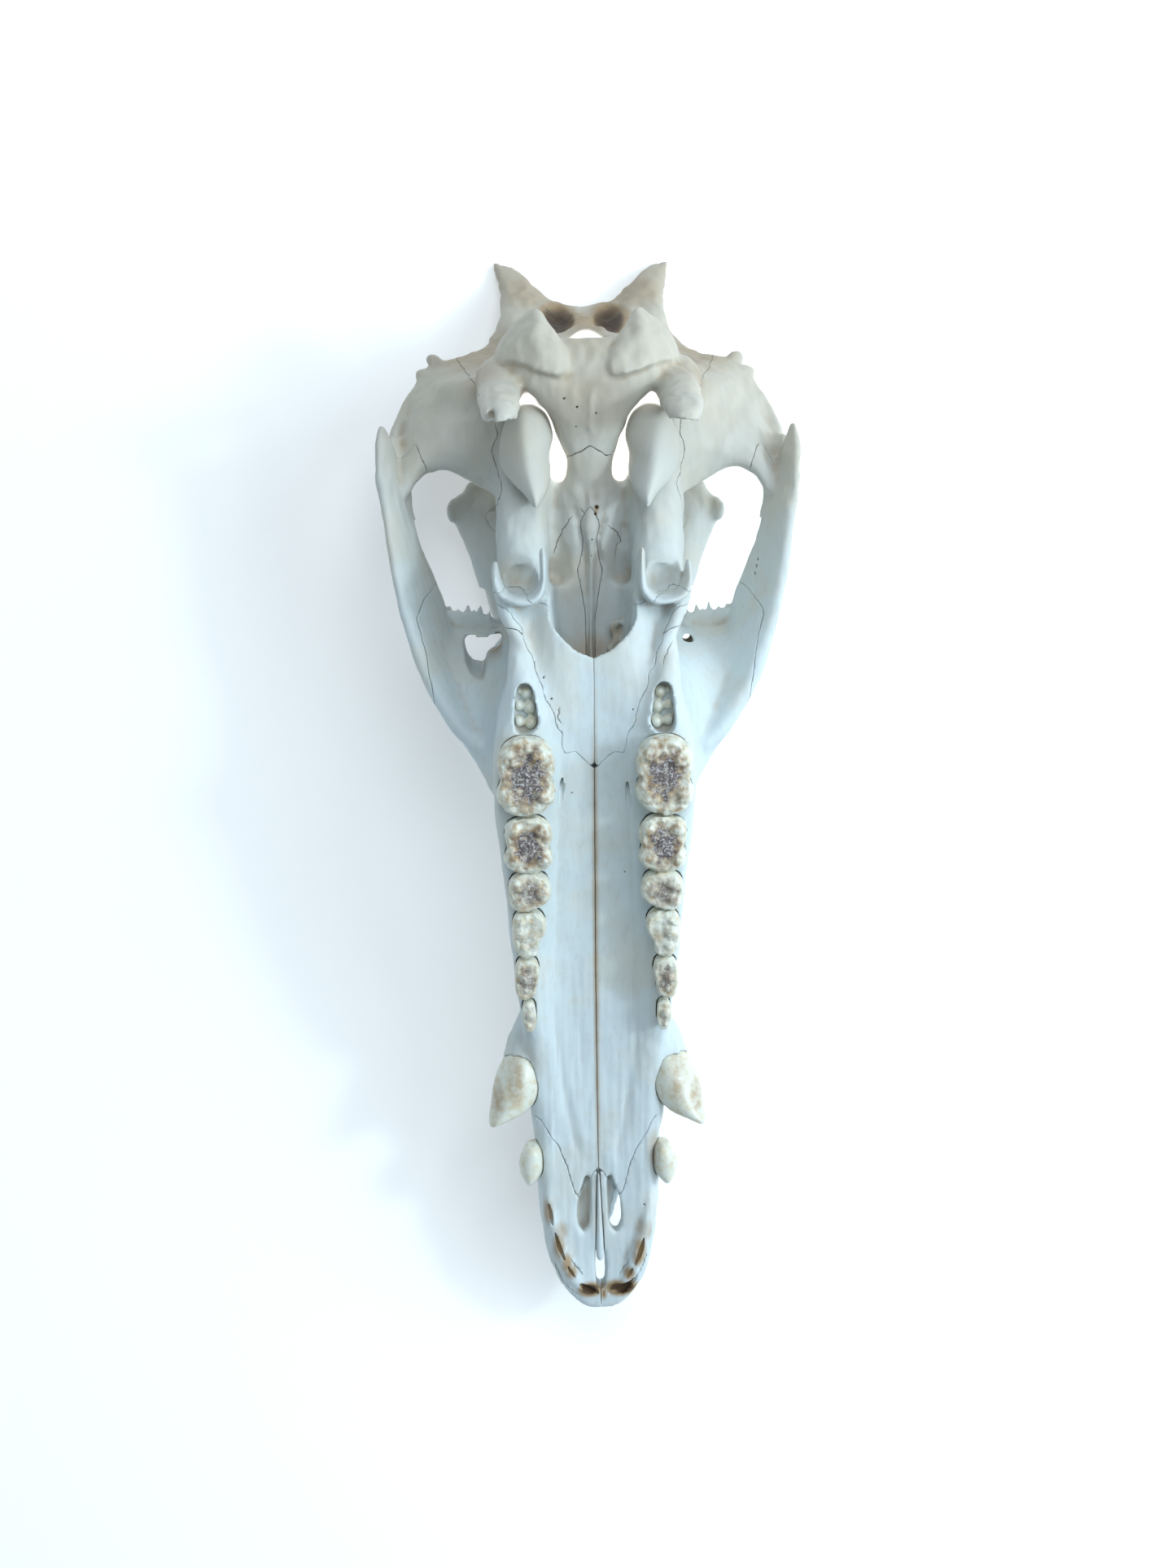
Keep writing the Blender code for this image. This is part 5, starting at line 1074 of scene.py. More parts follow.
def mark(body):
    """Cut the sutures within bones, cracks, foramina and empty sockets into the skull."""
    bm = bmesh.new()
    bm.from_mesh(body.data)
    ground = BVHTree.FromBMesh(bm)
    bm.free()
    marks = [crack(ground, path) for path in CRACKS] + [pit(ground, *row) for row in PITS]
    marks += snout_sockets() + cheek_holes() + both(palatine_foramen())
    cut(body, joined("marks", marks), 'DIFFERENCE')


# The sutures

def territory(name, axis, stations, grow, ripple):
    """The space of one bone: straight between outlines, let out on every side by a distance, and rippled."""
    rings = []
    for k, (place, outline) in enumerate(stations):
        end = -1 if k == 0 else 1 if k == len(stations) - 1 else 0
        rings.append([along(axis, place + end * grow, a, b) for a, b in let_out(outline, grow)])
    space = fused(name, [skin(name, rings)], TERRITORY_VOXEL, 0)
    reach, length = ripple
    for vert in space.data.vertices:
        p = vert.co / MM
        calm = min(1, 0.08 + abs(p.x) / 5)
        wave = noise.noise_vector(p / length) + noise.noise_vector(p / length * 2.6) * 0.45
        vert.co += wave * reach * calm * MM
    return space


def box_row(x0, x1, z0, z1):
    """An oblong outline across y."""
    return [(x0, z0), (x1, z0), (x1, z1), (x0, z1)]


def plan_stations(outline, low, high):
    """One outline in plan, from a low to a high place."""
    return [(low, outline), (high, outline)]


NASAL = ('y', [
    (-158, box_row(0, 4, -48, -28)), (-150, box_row(0, 7, -49, -29)), (-140, box_row(0, 10.4, -50, -31.6)),
    (-128, box_row(0, 11.6, -52, -33.6)), (-112, box_row(0, 11.4, -55, -36.4)),
    (-60, box_row(0, 11.5, -66, -47)), (-5, box_row(0, 12.5, -78, -59.4)), (6, box_row(0, 4, -80, -62)),
])

# The right half of the snout's end in plan: its front, and the suture behind it
SNOUT_FRONT = [(0, -172), (40, -172)]
SNOUT_SUTURE = [(40, -102), (17.5, -103), (12.4, -111.4), (9.2, -119.6), (6.2, -130), (0, -118)]
PREMAXILLA = ('z', [
    *((z, SNOUT_FRONT + [(x, y) for x in (40, 16, 12, 9, 6.5, 0)])
      for z, y in ((-40, -77), (-30, -87), (-16, -98))),
    (-12, SNOUT_FRONT + [(40, -100.5), (17.5, -101.5), (13, -107), (9.6, -112), (6.4, -116), (0, -114)]),
    (-9, SNOUT_FRONT + SNOUT_SUTURE),
    (8, SNOUT_FRONT + SNOUT_SUTURE),
])
FRONTAL = ('y', [
    (-14, box_row(0, 14, -95, -58)), (-4, box_row(0, 19, -95, -59.5)), (10, box_row(0, 25, -100, -62.5)),
    (22, box_row(0, 30, -100, -65.5)), (30, box_row(0, 52, -100, -66.5)), (60, box_row(0, 52, -105, -72)),
    (79, box_row(0, 52, -110, -79)),
])
LACRIMAL = ('y', [(13, box_row(22, 46, -80, -55)), (44, box_row(22, 46, -80, -55))])
ZYGOMATIC = ('y', [
    (8, box_row(44.8, 72, -75, 0)), (20, box_row(46.4, 72, -75, 0)), (33, box_row(48.4, 72, -75, 0)),
    (44, box_row(51.4, 72, -75, 0)), (48, box_row(49.6, 72, -75, 0)), (52, box_row(44, 72, -75, 0)),
    (61, box_row(44, 72, -51, 0)), (84, box_row(48, 72, -51, 0)), (102, box_row(54, 72, -51, 0)),
])
PALATINE = ('z', plan_stations([
    (0, 2.6), (2.0, 5.2), (4.4, 7.4), (6.0, 9.6), (7.4, 8.2), (8.8, 8.0), (9.1, 11.5), (9.1, 14.2),
    (10.8, 15.8), (11.4, 18.5), (13.0, 23), (15, 28), (18, 36.5), (20.6, 44), (24, 49), (30.5, 51.5),
    (26, 55), (19.5, 53.4), (17, 51.4), (14.5, 50.2), (11, 49), (0, 49),
], -27, 8))
MAXILLA = ('z', plan_stations([
    (0, -128), (60, -128), (60, 56), (40, 56), (38, 44), (22, 44), (17, 39), (12.5, 34), (11.5, 23), (0, 23),
], -80, 8))
SQUAMOSAL = ('z', plan_stations([
    (28.6, 70), (72, 70), (72, 108), (54, 117), (46, 121), (41, 118.4), (35, 112), (31, 108.4),
    (27.6, 101), (26.6, 96), (28.4, 92), (27.4, 86.6), (25.4, 82), (27.4, 76),
], -95, -20))
PARIETAL = ('y', [
    (78, box_row(-40, 40, -125, -82)), (100, box_row(-40, 40, -125, -89)), (121, box_row(-40, 40, -125, -96)),
])
VOMER = ('z', plan_stations(mirrored_outline([
    (0, 24), (1.3, 24), (1.4, 43), (2.6, 51), (3.7, 56.6), (2.7, 60.2), (1.9, 65.6), (2.9, 70.4),
    (1.3, 74.4), (0, 76),
]), -38.6, -26))
OCCIPITAL = ('z', plan_stations(mirrored_outline([
    (0, 94), (1.4, 92.8), (3.6, 91.6), (6.8, 90.6), (12, 94.6), (17, 103), (27, 103), (60, 97), (60, 165),
    (0, 165),
]), -135, 12))

# Each bone's node, space, the reach and length of the ripples of its suture, in mm, and its share of the gap
BONES = [
    ("nasal", NASAL, (0.35, 5.0), 1.0),
    ("premaxilla", PREMAXILLA, (0.5, 5.0), 0.8),
    ("frontal", FRONTAL, (0.6, 5.0), 1.0),
    ("lacrimal", LACRIMAL, (0.5, 5.0), 0.8),
    ("zygomatic", ZYGOMATIC, (0.5, 6.0), 0.7),
    ("palatine", PALATINE, (0.7, 3.5), 0.5),
    ("maxilla", MAXILLA, (0.5, 4.5), 0.9),
    ("squamosal", SQUAMOSAL, (0.6, 3.5), 0.6),
]
MIDDLE_BONES = [
    ("parietal", PARIETAL, (0.6, 5.0), 1.0),
    ("vomer", VOMER, (0.35, 3.0), 0.6),
    ("occipital", OCCIPITAL, (0.8, 3.0), 1.2),
]

# Keeps the ripples of the sutures the same each time
RIPPLE_SEED = 5


def flipped(stations):
    """The stations of the left side's bone."""
    axis, rows = stations
    return (axis, [(place, [(-a, b) for a, b in outline]) for place, outline in rows])


def taken(body, name, space, ripple, gap):
    """The bone that lies in a space, taken from the body with a thin gap round it."""
    bone = copied(body)
    cut(bone, territory("inner", *space, -gap / 2, ripple), 'INTERSECT')
    cut(body, territory("outer", *space, gap / 2, ripple), 'DIFFERENCE')
    bone.name = name
    return largest(bone)


# Surfaces

def coordinates(mesh):
    """The place of each vertex."""
    co = np.empty(len(mesh.vertices) * 3)
    mesh.vertices.foreach_get("co", co)
    return co.reshape(-1, 3)


def normals(mesh):
    """The way that the surface faces at each vertex."""
    way = np.empty(len(mesh.vertices) * 3)
    mesh.vertices.foreach_get("normal", way)
    return way.reshape(-1, 3)


def evened(mesh, values, rounds):
    """Values at the vertices, evened out along the edges."""
    a, b = edge_ends(mesh)
    count = len(mesh.vertices)
    degree = np.maximum(1, np.bincount(a, minlength=count) + np.bincount(b, minlength=count))
    columns = values if values.ndim > 1 else values[:, None]
    for _ in range(rounds):
        total = np.stack([
            np.bincount(a, weights=column[b], minlength=count)
            + np.bincount(b, weights=column[a], minlength=count)
            for column in columns.T], axis=1)
        columns = 0.5 * columns + 0.5 * total / degree[:, None]
    return columns if values.ndim > 1 else columns[:, 0]


def step_between(low, high, value):
    """0 below the low value, 1 above the high one, and smooth in between."""
    t = np.clip((value - low) / (high - low), 0, 1)
    return t * t * (3 - 2 * t)


def stored(mesh, name, values):
    """A value for each vertex, kept as an attribute of the mesh."""
    attribute = mesh.attributes.new(name, 'FLOAT', 'POINT')
    attribute.data.foreach_set("value", values.astype(np.float32))


# Stained places: centre, radii, strength (tan to 1, then dark brown), and whether both sides have it
STAINS = [
    # In the hollows of the nape the dark brown is partly painted shade, laid over real stain
    ((7.9, 130, -88), (8.5, 11, 27), 1.65, True),
    ((0, 128, -80), (20, 9, 26), 0.95, False),
    ((30, 120, -76), (22, 12, 24), 0.6, True),
    ((17, 137, -106), (12, 10, 16), 0.55, True),
    ((25, 141, -112), (12, 14, 16), 0.3, True),
    ((30, 111, -42), (14, 8, 18), 0.5, True),
    ((0, 106, -28), (17, 13, 9), 0.35, False),
    ((0, 120, -36), (14, 7, 8), 0.3, False),
    ((20.4, 57, -30), (7, 5, 7), 0.12, True),
    ((0, 56, -36), (13, 40, 14), 0.25, False),
    ((0, 32, -26), (12, 12, 20), 0.6, False),
    ((1.8, 74.8, -35), (1.2, 3.0, 4), 1.2, False),
    ((6.8, 37, -31), (3, 7, 4), 0.7, False),
    ((30.5, 32, -56), (7, 4, 10), 0.9, True),
    ((0.2, -50, -5), (1.1, 95, 3), 0.8, False),
    ((0, -132, -7), (7, 17, 4), 0.25, False),
    ((6.4, -158, -4.5), (6.4, 3.4, 3.6), 1.75, False),
    ((-3.4, -158.4, -4.5), (4.6, 3.0, 3.6), 1.75, False),
    ((11.5, -147.2, -2.6), (2.2, 4.2, 3), 1.0, False),
    ((-10.1, -148.8, -2.6), (2.2, 4.2, 3), 1.0, False),
    ((-15.3, -133, -4.5), (2.0, 5.5, 3), 0.85, False),
    ((-11.9, -139, -4), (3.2, 3.6, 3), 0.6, False),
    ((13.4, -139, -4), (3.4, 5.0, 3), 0.7, False),
    ((17, -114, -5), (3.4, 8, 5), 0.55, False),
    ((0.8, -160, -6), (1.6, 3, 4), 1.3, False),
    ((-12.4, -143.5, -3), (2.4, 6, 4), 0.9, False),
    ((12.2, -145.5, -3), (2.4, 6, 4), 1.05, False),
    ((8.8, -152.8, -3), (2.4, 3, 4), 1.0, False),
    ((-8.8, -152, -3), (2.4, 3, 4), 0.9, False),
    ((24.0, -91, -3), (3.2, 9.5, 8), 0.6, True),
    ((29.4, -96.5, -4), (2.4, 6.5, 8), 0.65, True),
]

# Where the bone is painted with a pale glow, though no lamp is there: along the brain's hollow (y, z) and
# deep in the slits (x, y)
HOLLOW_AXIS = ((86, -65), (96, -63), (108, -58), (119, -50))
SLIT_PATH = ((9.0, 84.8), (9.3, 88.5), (10.0, 92.6), (10.7, 96.2), (11.9, 100.4), (13.8, 103.8),
             (17.2, 105.8))

# The snout's bend to the right, in mm: how far, from which y forwards, and over what length
SWAY = 1.0
SWAY_START = -60
SWAY_LENGTH = 105


def painted_glow(where, facing):
    """How far each point shows the painted glow that makes the hollows pale."""
    x, y, z = where.T
    axis = np.interp(y, *zip(*HOLLOW_AXIS))
    inward = -facing[:, 0] * x + facing[:, 2] * (axis - z) > 0
    rim = 126.2 - 0.1 * x ** 2
    hollow = (1 - step_between(rim - 1.0, rim, y)) * step_between(82, 85, y)
    hollow *= (np.hypot(x, z - axis) < 24) * inward
    aside = np.min([np.hypot(abs(x) - px, y - py) for px, py in SLIT_PATH], axis=0)
    slit = (1 - step_between(3.4, 4.4, aside)) * (1 - step_between(-39, -35.5, z)) * (z > -72)
    return np.maximum(hollow, slit)


def finished(obj, name, node, material, worn=None):
    """The finished piece: set on the floor, shaded, and standing for its solid."""
    mesh = obj.data
    where = coordinates(mesh) / MM
    facing = normals(mesh)
    crease = ((evened(mesh, where, CREASE_ROUNDS) - where) * facing).sum(axis=1)
    stored(mesh, "crease", crease)
    # Painted glow: the share of each vertex that shines pale in the hollows, kept as the attribute light
    stored(mesh, "light", painted_glow(where, facing))
    stain = np.zeros(len(where))
    for centre, radii, strength, twin in STAINS:
        p = where.copy()
        if twin:
            p[:, 0] = abs(p[:, 0])
        far = (((p - np.array(centre)) / np.array(radii)) ** 2).sum(axis=1) ** 0.5
        stain = np.maximum(stain, strength * (1 - step_between(0.35, 1.1, far)))
    dark = np.zeros(len(where))
    if worn:
        centre, radii, strength = worn
        far = np.hypot(*((where[:, :2] - np.array(centre)) / np.array(radii)).T)
        far += 0.4 * sampled(where / 1.7)
        dark = strength * (1 - step_between(0.30, 0.72, far))
        stain = strength * (1 - step_between(0.55, 1.05, far))
    stored(mesh, "stain", stain)
    stored(mesh, "dark", dark)
    where[:, 0] += SWAY * (np.clip(SWAY_START - where[:, 1], 0, None) / SWAY_LENGTH) ** 1.5
    mesh.vertices.foreach_set("co", (where * MM).ravel())
    mesh.transform(PLACE)
    rest = np.clip(coordinates(mesh), *(np.array(corner) for corner in CAD_BOX))
    mesh.vertices.foreach_set("co", rest.ravel())
    mesh.polygons.foreach_set("use_smooth", np.ones(len(mesh.polygons), bool))
    mesh.materials.clear()
    mesh.materials.append(material)
    obj.name = name
    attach(obj, "root")
    if node:
        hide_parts(node)


class Wire:
    """A shader value that can be used in sums."""

    def __init__(self, recipe, socket):
        self.recipe = recipe
        self.socket = socket

    def _sum(self, operation, *values):
        return self.recipe.node('ShaderNodeMath', {'operation': operation}, dict(enumerate(values)))

    def __add__(self, other):
        return self._sum('ADD', self, other)

    __radd__ = __add__

    def __mul__(self, other):
        return self._sum('MULTIPLY', self, other)

    __rmul__ = __mul__

    def __sub__(self, other):
        return self._sum('SUBTRACT', self, other)

    def __rsub__(self, other):
        return self._sum('SUBTRACT', other, self)

    def between(self, low, high):
        """0 below the low value, 1 above the high one, and smooth in between."""
        return self.recipe.node('ShaderNodeMapRange', {'interpolation_type': 'SMOOTHSTEP'},
                                {0: self, 1: low, 2: high})


class Recipe:
    """A material and its nodes."""

    def __init__(self, name):
        self.material = bpy.data.materials.new(name)
        self.material.use_nodes = True
        self.tree = self.material.node_tree
        self.shader = self.tree.nodes["Principled BSDF"]

    def feed(self, socket, value):
        if isinstance(value, Wire):
            self.tree.links.new(value.socket, socket)
        elif hasattr(value, "__len__") and len(value) == 3 and socket.type == 'RGBA':
            socket.default_value = (*value, 1)
        else:
            socket.default_value = value

    def node(self, kind, settings=None, values=None, out=0):
        """Any node: its settings first, then what its sockets get."""
        node = self.tree.nodes.new(kind)
        for key, value in (settings or {}).items():
            setattr(node, key, value)
        for key, value in (values or {}).items():
            self.feed(node.inputs[key], value)
        return Wire(self, node.outputs[out])

    def set(self, **values):
        for key, value in values.items():
            self.feed(self.shader.inputs[key.replace('_', ' ').title()], value)

    def place(self):
        return self.node('ShaderNodeTexCoord', out='Object')

    def attribute(self, name):
        return self.node('ShaderNodeAttribute', {'attribute_name': name}, out='Fac')

    def noise(self, place, scale, detail, rough):
        return self.node('ShaderNodeTexNoise', {'noise_dimensions': '3D'},
                         {'Vector': place, 'Scale': scale, 'Detail': detail, 'Roughness': rough})

    def stretched(self, place, scale):
        return self.node('ShaderNodeMapping', {'vector_type': 'POINT'},
                         {'Vector': place, 'Rotation': (TILT, 0, 0), 'Scale': scale})

    def blend(self, share, first, second):
        """Two colours mixed by a share."""
        return self.node('ShaderNodeMix', {'data_type': 'RGBA', 'clamp_factor': True},
                         {0: share, 6: first, 7: second}, out=2)

    def bump(self, height, distance, strength):
        return self.node('ShaderNodeBump', {}, {'Height': height, 'Distance': distance, 'Strength': strength})


def bone_material(look):
    """Dry cleaned bone: white tinted by painted cool light in front, creamy with painted warmer light behind,
    streaked, tan in the hollows, with painted shade in the creases, a painted glow deep in the openings, and
    fine pores.
    """
    r = Recipe("Bone")
    place = r.place()
    crease = r.attribute("crease")
    stain = r.attribute("stain")
    light = r.attribute("light")
    back = r.node('ShaderNodeSeparateXYZ', {}, {0: place}, out='Y')
    broad = r.noise(place, 55, 2, 0.5)
    mottle = r.noise(place, 260, 4, 0.6)
    streak = r.noise(r.stretched(place, (1, 0.16, 1)), 700, 3, 0.6)
    grain = r.noise(place, 2400, 3, 0.6)
    # Painted light: the bluish front and the warmer rear stand in for cool light on the snout and warmer
    # light on the back, over the bone's cream
    colour = r.blend((back + broad * 0.04 - 0.02).between(0.015, 0.125), look.bone, look.bone_rear)
    colour = r.blend(broad.between(0.42, 0.72) * 0.45, colour, look.bone_warm)
    colour = r.blend(mottle.between(0.5, 0.8) * 0.3, colour, look.bone_warm)
    colour = r.blend(streak.between(0.5, 0.75) * 0.25, colour, look.bone_shade)
    # Real tan stains, plus painted shade: tan darkening in the creases
    stain_and_crease_shade = (crease.between(0.06, 0.45) * 0.45 + stain) * (mottle * 0.7 + 0.65)
    colour = r.blend(stain_and_crease_shade, colour, look.stain)
    # Painted shade darkens the deepest creases to dark brown; the strongest stains turn the same dark brown
    colour = r.blend(crease.between(0.3, 0.9) * 0.4 + (stain - 1).between(0, 0.6), colour, look.dirt_and_crease_shade)
    height = streak * 0.5 + mottle * 0.35 + grain * 0.2
    # The emission is a painted glow in the hollows and slits, set by the light attribute
    r.set(base_color=colour, roughness=0.5 + mottle * 0.16, normal=r.bump(height, 0.00025, 0.6),
          emission_color=r.blend(light, (0.0, 0.0, 0.0), look.through))
    r.shader.inputs["Specular IOR Level"].default_value = 0.35
    r.shader.inputs["Emission Strength"].default_value = 1.0
    return r.material


def tooth_material(look):
    """Enamel with brown flanks, and a black and grey core with white flecks where the crown is worn."""
    r = Recipe("Enamel")
    place = r.place()
    crease = r.attribute("crease")
    stain = r.attribute("stain")
    dark = r.attribute("dark")
    mottle = r.noise(place, 420, 4, 0.6)
    fleck = r.noise(place, 1500, 4, 0.7)
    streak = r.noise(r.stretched(place, (1, 1, 0.2)), 900, 3, 0.6)
    colour = r.blend(mottle.between(0.4, 0.8), look.enamel, look.enamel_warm)
    colour = r.blend(streak.between(0.55, 0.8) * 0.2, colour, look.enamel_warm)
    colour = r.blend(stain * (mottle.between(0.3, 0.6) * 0.5 + 0.4), colour, look.dentine)
    colour = r.blend((crease + mottle * 0.06 - 0.03).between(0.10, 0.42) * 0.9, colour, look.fissure)
    core = r.blend(fleck.between(0.50, 0.60), look.core, look.core_fleck)
    colour = r.blend(dark * (mottle.between(0.3, 0.5) * 0.7 + 0.5), colour, core)
    height = streak * 0.4 + mottle + fleck * dark
    r.set(base_color=colour, roughness=0.24 + mottle * 0.2 + dark * 0.35, normal=r.bump(height, 0.00012, 0.5))
    return r.material


class SkullLook(bpy.types.PropertyGroup):
    """Sizes and colours of the skull."""

    suture: FloatProperty(name="Suture", description="Width of the gap between two bones", default=0.00022,
                          min=0.0001, max=0.001, subtype='DISTANCE', unit='LENGTH', precision=5)
    # Its bluish tint is painted cool light on the snout
    bone: FloatVectorProperty(name="Bone", description="Clean dry bone", default=(0.60, 0.67, 0.69),
                              subtype='COLOR')
    # Its cream is real bone colour, warmed further by painted warm light on the back of the skull
    bone_rear: FloatVectorProperty(name="Rear bone", description="Bone of the base and the nape",
                                   default=(0.53, 0.485, 0.405), subtype='COLOR')
    bone_warm: FloatVectorProperty(name="Warm bone", description="Bone in its warmer patches",
                                   default=(0.60, 0.555, 0.455), subtype='COLOR')
    bone_shade: FloatVectorProperty(name="Streaks", description="Darker streaks along the bone",
                                    default=(0.44, 0.45, 0.44), subtype='COLOR')
    # Tan of the stains, also used for the painted shade in the creases
    stain: FloatVectorProperty(name="Stain", description="Tan of the hollows and the nape",
                               default=(0.36, 0.255, 0.15), subtype='COLOR')
    # Painted shade in the deepest creases, and the dark brown of the strongest stains
    dirt_and_crease_shade: FloatVectorProperty(name="Dirt", description="Dark brown in the deepest creases",
                              default=(0.075, 0.042, 0.02), subtype='COLOR')
    # Colour of the painted glow in the braincase and the slits, given off though no lamp is there
    through: FloatVectorProperty(name="Light through bone", description="Pale light inside the braincase",
                                 default=(0.95, 0.97, 1.0), subtype='COLOR')
    enamel: FloatVectorProperty(name="Enamel", description="Clean enamel", default=(0.70, 0.71, 0.63),
                                subtype='COLOR')
    enamel_warm: FloatVectorProperty(name="Warm enamel", description="Yellower enamel",
                                     default=(0.60, 0.50, 0.32), subtype='COLOR')
    dentine: FloatVectorProperty(name="Dentine", description="Brown flanks of the cusps",
                                 default=(0.34, 0.20, 0.085), subtype='COLOR')
    fissure: FloatVectorProperty(name="Fissures", description="Stained creases of the crowns",
                                 default=(0.08, 0.045, 0.022), subtype='COLOR')
    core: FloatVectorProperty(name="Core", description="Dark matter in the worn crowns",
                              default=(0.13, 0.10, 0.095), subtype='COLOR')
    core_fleck: FloatVectorProperty(name="Flecks", description="Light flecks in the core",
                                    default=(0.52, 0.50, 0.50), subtype='COLOR')
    floor: FloatVectorProperty(name="Floor", description="The pale floor", default=(0.92, 0.92, 0.92),
                               subtype='COLOR')
    floor_glow: FloatProperty(name="Floor glow", description="Light that the pale floor gives off",
                              default=0.25)
    window_power: FloatProperty(name="Window light", description="Power of the broad light from the right",
                                default=6.6)
    beam_power: FloatProperty(name="Beam", description="Power of the narrow light from the right",
                              default=2.5)
    top_power: FloatProperty(name="Top light", description="Power of the light from above", default=4.4)


def material(name):
    """The one material of that name, made when it is first asked for."""
    found = bpy.data.materials.get(name)
    if found:
        return found
    look = bpy.context.scene.skull_look
    return {"Bone": bone_material, "Enamel": tooth_material}[name](look)


class SKULL_OT_bones(bpy.types.Operator):
    """Model the skull and part it into its bones"""

    bl_idname = "skull.bones"
    bl_label = "Bones"

    def execute(self, context):
        gap = context.scene.skull_look.suture / MM
        body = whole_skull()
        cut(body, vomer_tip(SEAT), 'DIFFERENCE')
        sockets = [crown_body(outline, top, TOOTH_SEAT) for outline, top, _ in CHEEK_TEETH]
        for seat in both(bulla(SEAT), canine(SEAT), third_incisor(SEAT), *sockets):
            cut(body, seat, 'DIFFERENCE')
        mark(body)
        noise.seed_set(RIPPLE_SEED)
        bones = []
        for name, space, ripple, share in BONES:
            for side, stations in (("right", space), ("left", flipped(space))):
                bones.append((f"{name}_{side}", taken(body, name, stations, ripple, gap * share)))
        for name, space, ripple, share in MIDDLE_BONES:
            bones.append((name, taken(body, name, space, ripple, gap * share)))
        bones.append(("sphenoid", largest(body)))
        for node, bone in bones:
            finished(bone, f"Bone.{node}", node, material("Bone"))
        return {'FINISHED'}


class SKULL_OT_bullae(bpy.types.Operator):
    """Model the two tympanic bullae"""

    bl_idname = "skull.bullae"
    bl_label = "Bullae"

    def execute(self, context):
        right = fused("bulla", [bulla()], FINE_VOXEL * 0.7, 3)
        for side, piece in (("left", other_side(right)), ("right", right)):
            finished(piece, f"Bulla.{side}", f"tympanic_bulla_{side}", material("Bone"))
        return {'FINISHED'}


class SKULL_OT_cheek_teeth(bpy.types.Operator):
    """Model the six cheek teeth of each side, and the last molar in its crypt"""

    bl_idname = "skull.cheek_teeth"
    bl_label = "Cheek teeth"

    # How far each crown is worn to its dark core
    WEAR = (0.95, 0.95, 0.6, 0.15, 0.55, 0.3)

    def execute(self, context):
        for side, way in (("right", 1), ("left", -1)):
            draw = random.Random(7 + way)
            for number, (row, wear) in enumerate(zip(CHEEK_TEETH, self.WEAR)):
                (low_x, high_x), (low_y, high_y) = ((min(values), max(values)) for values in zip(*row[0]))
                worn = ((way * (low_x + high_x) / 2, (low_y + high_y) / 2),
                        ((high_x - low_x) / 2, (high_y - low_y) / 2), wear)
                self.tooth(cheek_tooth(*row, draw), side, number + 1, worn)
            self.tooth(last_molar(), side, 0, None)
        return {'FINISHED'}

    def tooth(self, tooth, side, number, worn):
        if side == "left":
            twin = other_side(tooth)
            bpy.data.objects.remove(tooth)
            tooth = twin
        finished(tooth, f"Cheek_tooth.{side}.{number}", None, material("Enamel"), worn)


class SKULL_OT_front_teeth(bpy.types.Operator):
    """Model the canines and the third incisors"""

    bl_idname = "skull.front_teeth"
    bl_label = "Front teeth"

    def execute(self, context):
        tusk = fused("canine", [canine()], TOOTH_VOXEL, 2)
        incisor = fused("incisor", [third_incisor()], TOOTH_VOXEL, 2)
        for side, first, second in (("left", other_side(tusk), other_side(incisor)),
                                    ("right", tusk, incisor)):
            finished(first, f"Canine.{side}", f"canine_{side}", material("Enamel"))
            finished(second, f"Incisor.{side}", None, material("Enamel"))
        return {'FINISHED'}


class SKULL_OT_vomer_tip(bpy.types.Operator):
    """Model the free end of the vomer"""

    bl_idname = "skull.vomer_tip"
    bl_label = "Tip of the vomer"

    def execute(self, context):
        tip = fused("tip", [vomer_tip()], TIP_VOXEL, 2)
        finished(tip, "Vomer_tip", "vomer_tip", material("Bone"))
        return {'FINISHED'}


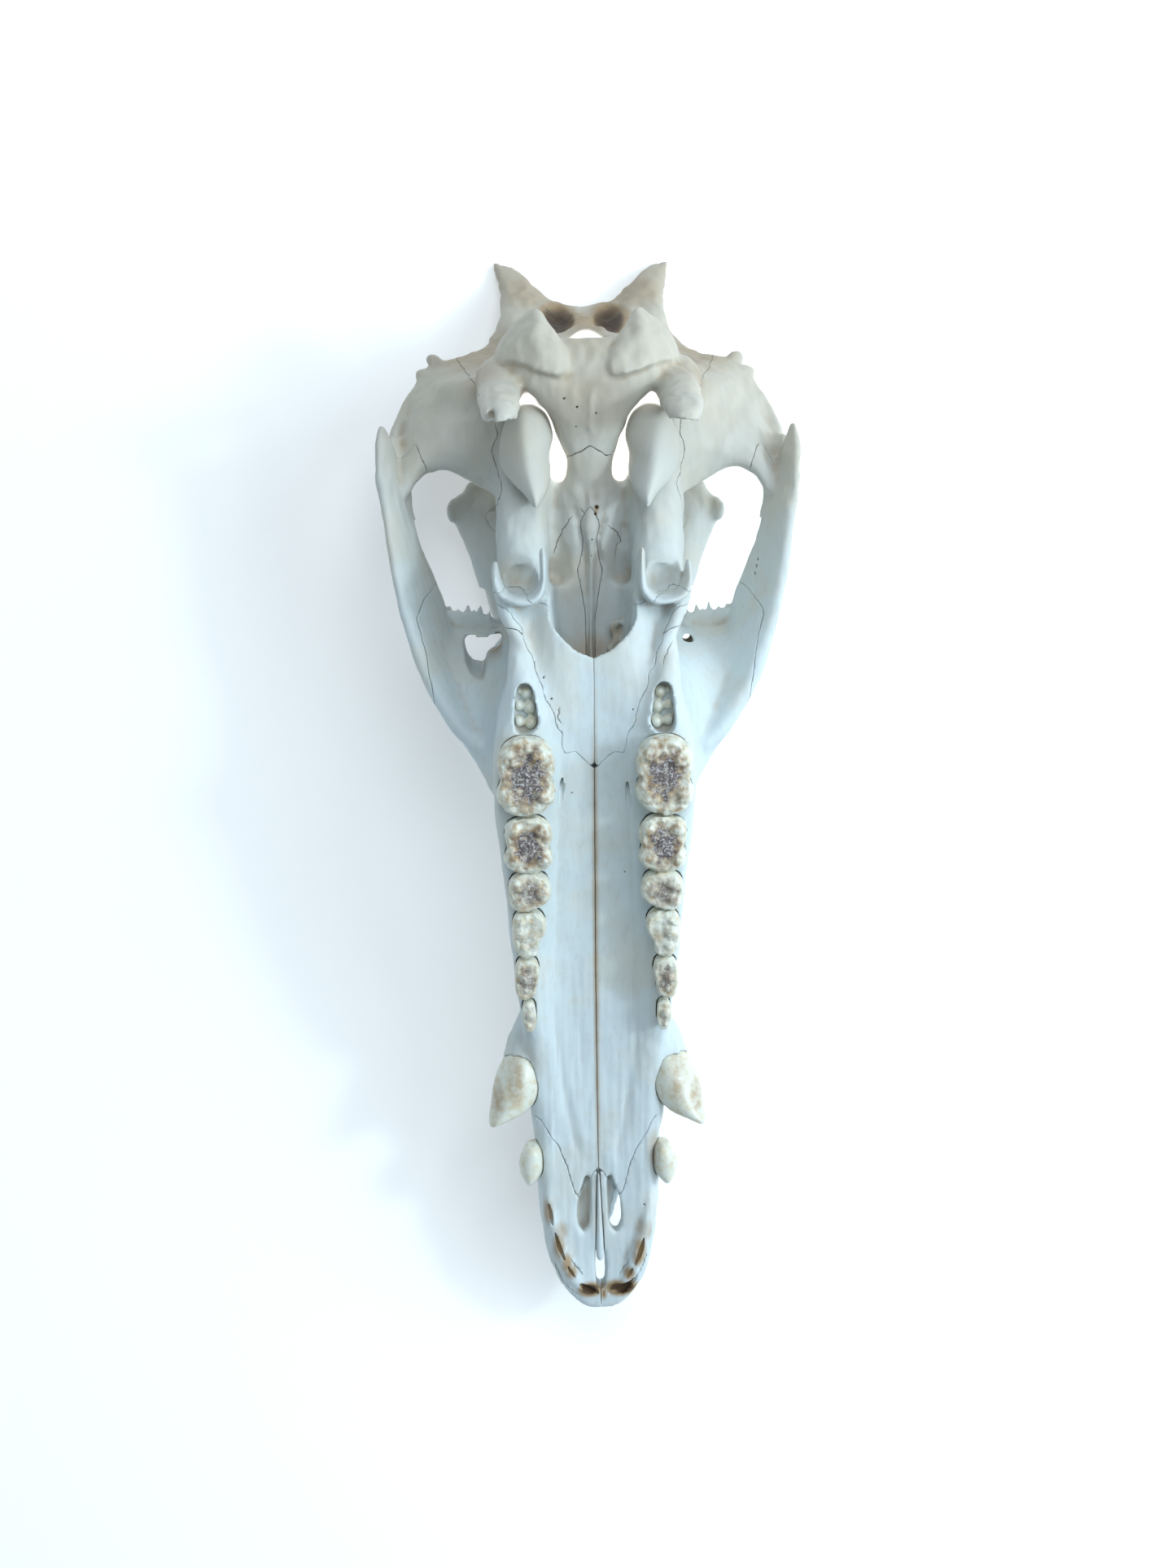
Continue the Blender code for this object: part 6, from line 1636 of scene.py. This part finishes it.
class SKULL_OT_studio(bpy.types.Operator):
    """Lay the floor and set the lights and the camera"""

    bl_idname = "skull.studio"
    bl_label = "Studio"

    SKY = (0.72, 0.89, 1.0)
    SKY_STRENGTH = 0.44
    LIT_POINT = Vector((0, 0, 0.05))

    # The camera in the skull's own frame, and its lens for the whole picture
    DISTANCE = 0.650
    LEAN = math.radians(13)
    ASIDE = math.radians(1.5)
    ROLL = math.radians(-0.75)
    AIM = Vector((-0.002, 0, 0))
    MM_PER_PIXEL = 0.233
    PICTURE_HEIGHT = 1927
    SENSOR = 36

    def execute(self, context):
        look = context.scene.skull_look
        self.floor(look)
        self.lights(look)
        self.camera(context)
        context.scene.view_settings.view_transform = 'Standard'
        return {'FINISHED'}

    def floor(self, look):
        bm = bmesh.new()
        bmesh.ops.create_grid(bm, x_segments=1, y_segments=1, size=4)
        floor = placed("Floor", bm)
        r = Recipe("Floor")
        r.set(base_color=look.floor, roughness=0.8, emission_color=(1.0, 1.0, 1.0),
              emission_strength=look.floor_glow)
        floor.data.materials.append(r.material)

    def lights(self, look):
        world = bpy.data.worlds.new("Studio")
        world.use_nodes = True
        sky = world.node_tree.nodes["Background"]
        sky.inputs["Color"].default_value = (*self.SKY, 1)
        sky.inputs["Strength"].default_value = self.SKY_STRENGTH
        bpy.context.scene.world = world
        for name, spot, size, power, colour in (
            ("Window", (0.78, 0.05, 0.64), 0.9, look.window_power, (0.80, 0.92, 1.0)),
            ("Beam", (0.72, 0.04, 0.70), 0.12, look.beam_power, (0.74, 0.91, 1.0)),
            ("Top", (0.1, 0.5, 1.1), 0.7, look.top_power, (0.88, 0.95, 1.0)),
        ):
            lamp = bpy.data.lights.new(name, 'AREA')
            lamp.shape = 'DISK'
            lamp.size = size
            lamp.energy = power
            lamp.color = colour
            obj = bpy.data.objects.new(name, lamp)
            obj.location = spot
            obj.rotation_euler = (self.LIT_POINT - Vector(spot)).to_track_quat('-Z', 'Y').to_euler()
            bpy.context.scene.collection.objects.link(obj)

    def camera(self, context):
        back = Vector((-math.sin(self.ASIDE), math.sin(self.LEAN), math.cos(self.LEAN))).normalized()
        side = Vector((0, math.cos(self.LEAN), -math.sin(self.LEAN))).cross(back).normalized()
        turn = Matrix((side, back.cross(side), back)).transposed().to_4x4()
        lens = bpy.data.cameras.new("Camera")
        lens.sensor_fit = 'VERTICAL'
        lens.sensor_height = self.SENSOR
        lens.lens = self.DISTANCE / (self.MM_PER_PIXEL * MM) / self.PICTURE_HEIGHT * self.SENSOR
        lens.clip_start = 0.01
        camera = bpy.data.objects.new("Camera", lens)
        camera.matrix_world = (PLACE @ Matrix.Translation(self.AIM + back * self.DISTANCE) @ turn
                               @ Matrix.Rotation(self.ROLL, 4, 'Z'))
        context.scene.collection.objects.link(camera)
        context.scene.camera = camera


class SKULL_PT_panel(bpy.types.Panel):
    """Steps and settings of the skull"""

    bl_idname = "SKULL_PT_panel"
    bl_label = "Wild boar skull"
    bl_space_type = 'VIEW_3D'
    bl_region_type = 'UI'
    bl_category = "Skull"

    def draw(self, context):
        for step in OPERATORS:
            self.layout.operator(step.bl_idname)
        for name in SkullLook.__annotations__:
            self.layout.prop(context.scene.skull_look, name)


OPERATORS = (SKULL_OT_bones, SKULL_OT_bullae, SKULL_OT_cheek_teeth, SKULL_OT_front_teeth, SKULL_OT_vomer_tip,
             SKULL_OT_studio)
CLASSES = (SkullLook, *OPERATORS, SKULL_PT_panel)


def register():
    for cls in CLASSES:
        bpy.utils.register_class(cls)
    bpy.types.Scene.skull_look = PointerProperty(type=SkullLook)


def unregister():
    del bpy.types.Scene.skull_look
    for cls in reversed(CLASSES):
        bpy.utils.unregister_class(cls)


def main():
    register()
    bpy.ops.skull.bones()
    bpy.ops.skull.bullae()
    bpy.ops.skull.cheek_teeth()
    bpy.ops.skull.front_teeth()
    bpy.ops.skull.vomer_tip()
    bpy.ops.skull.studio()


if __name__ == "__main__":
    main()
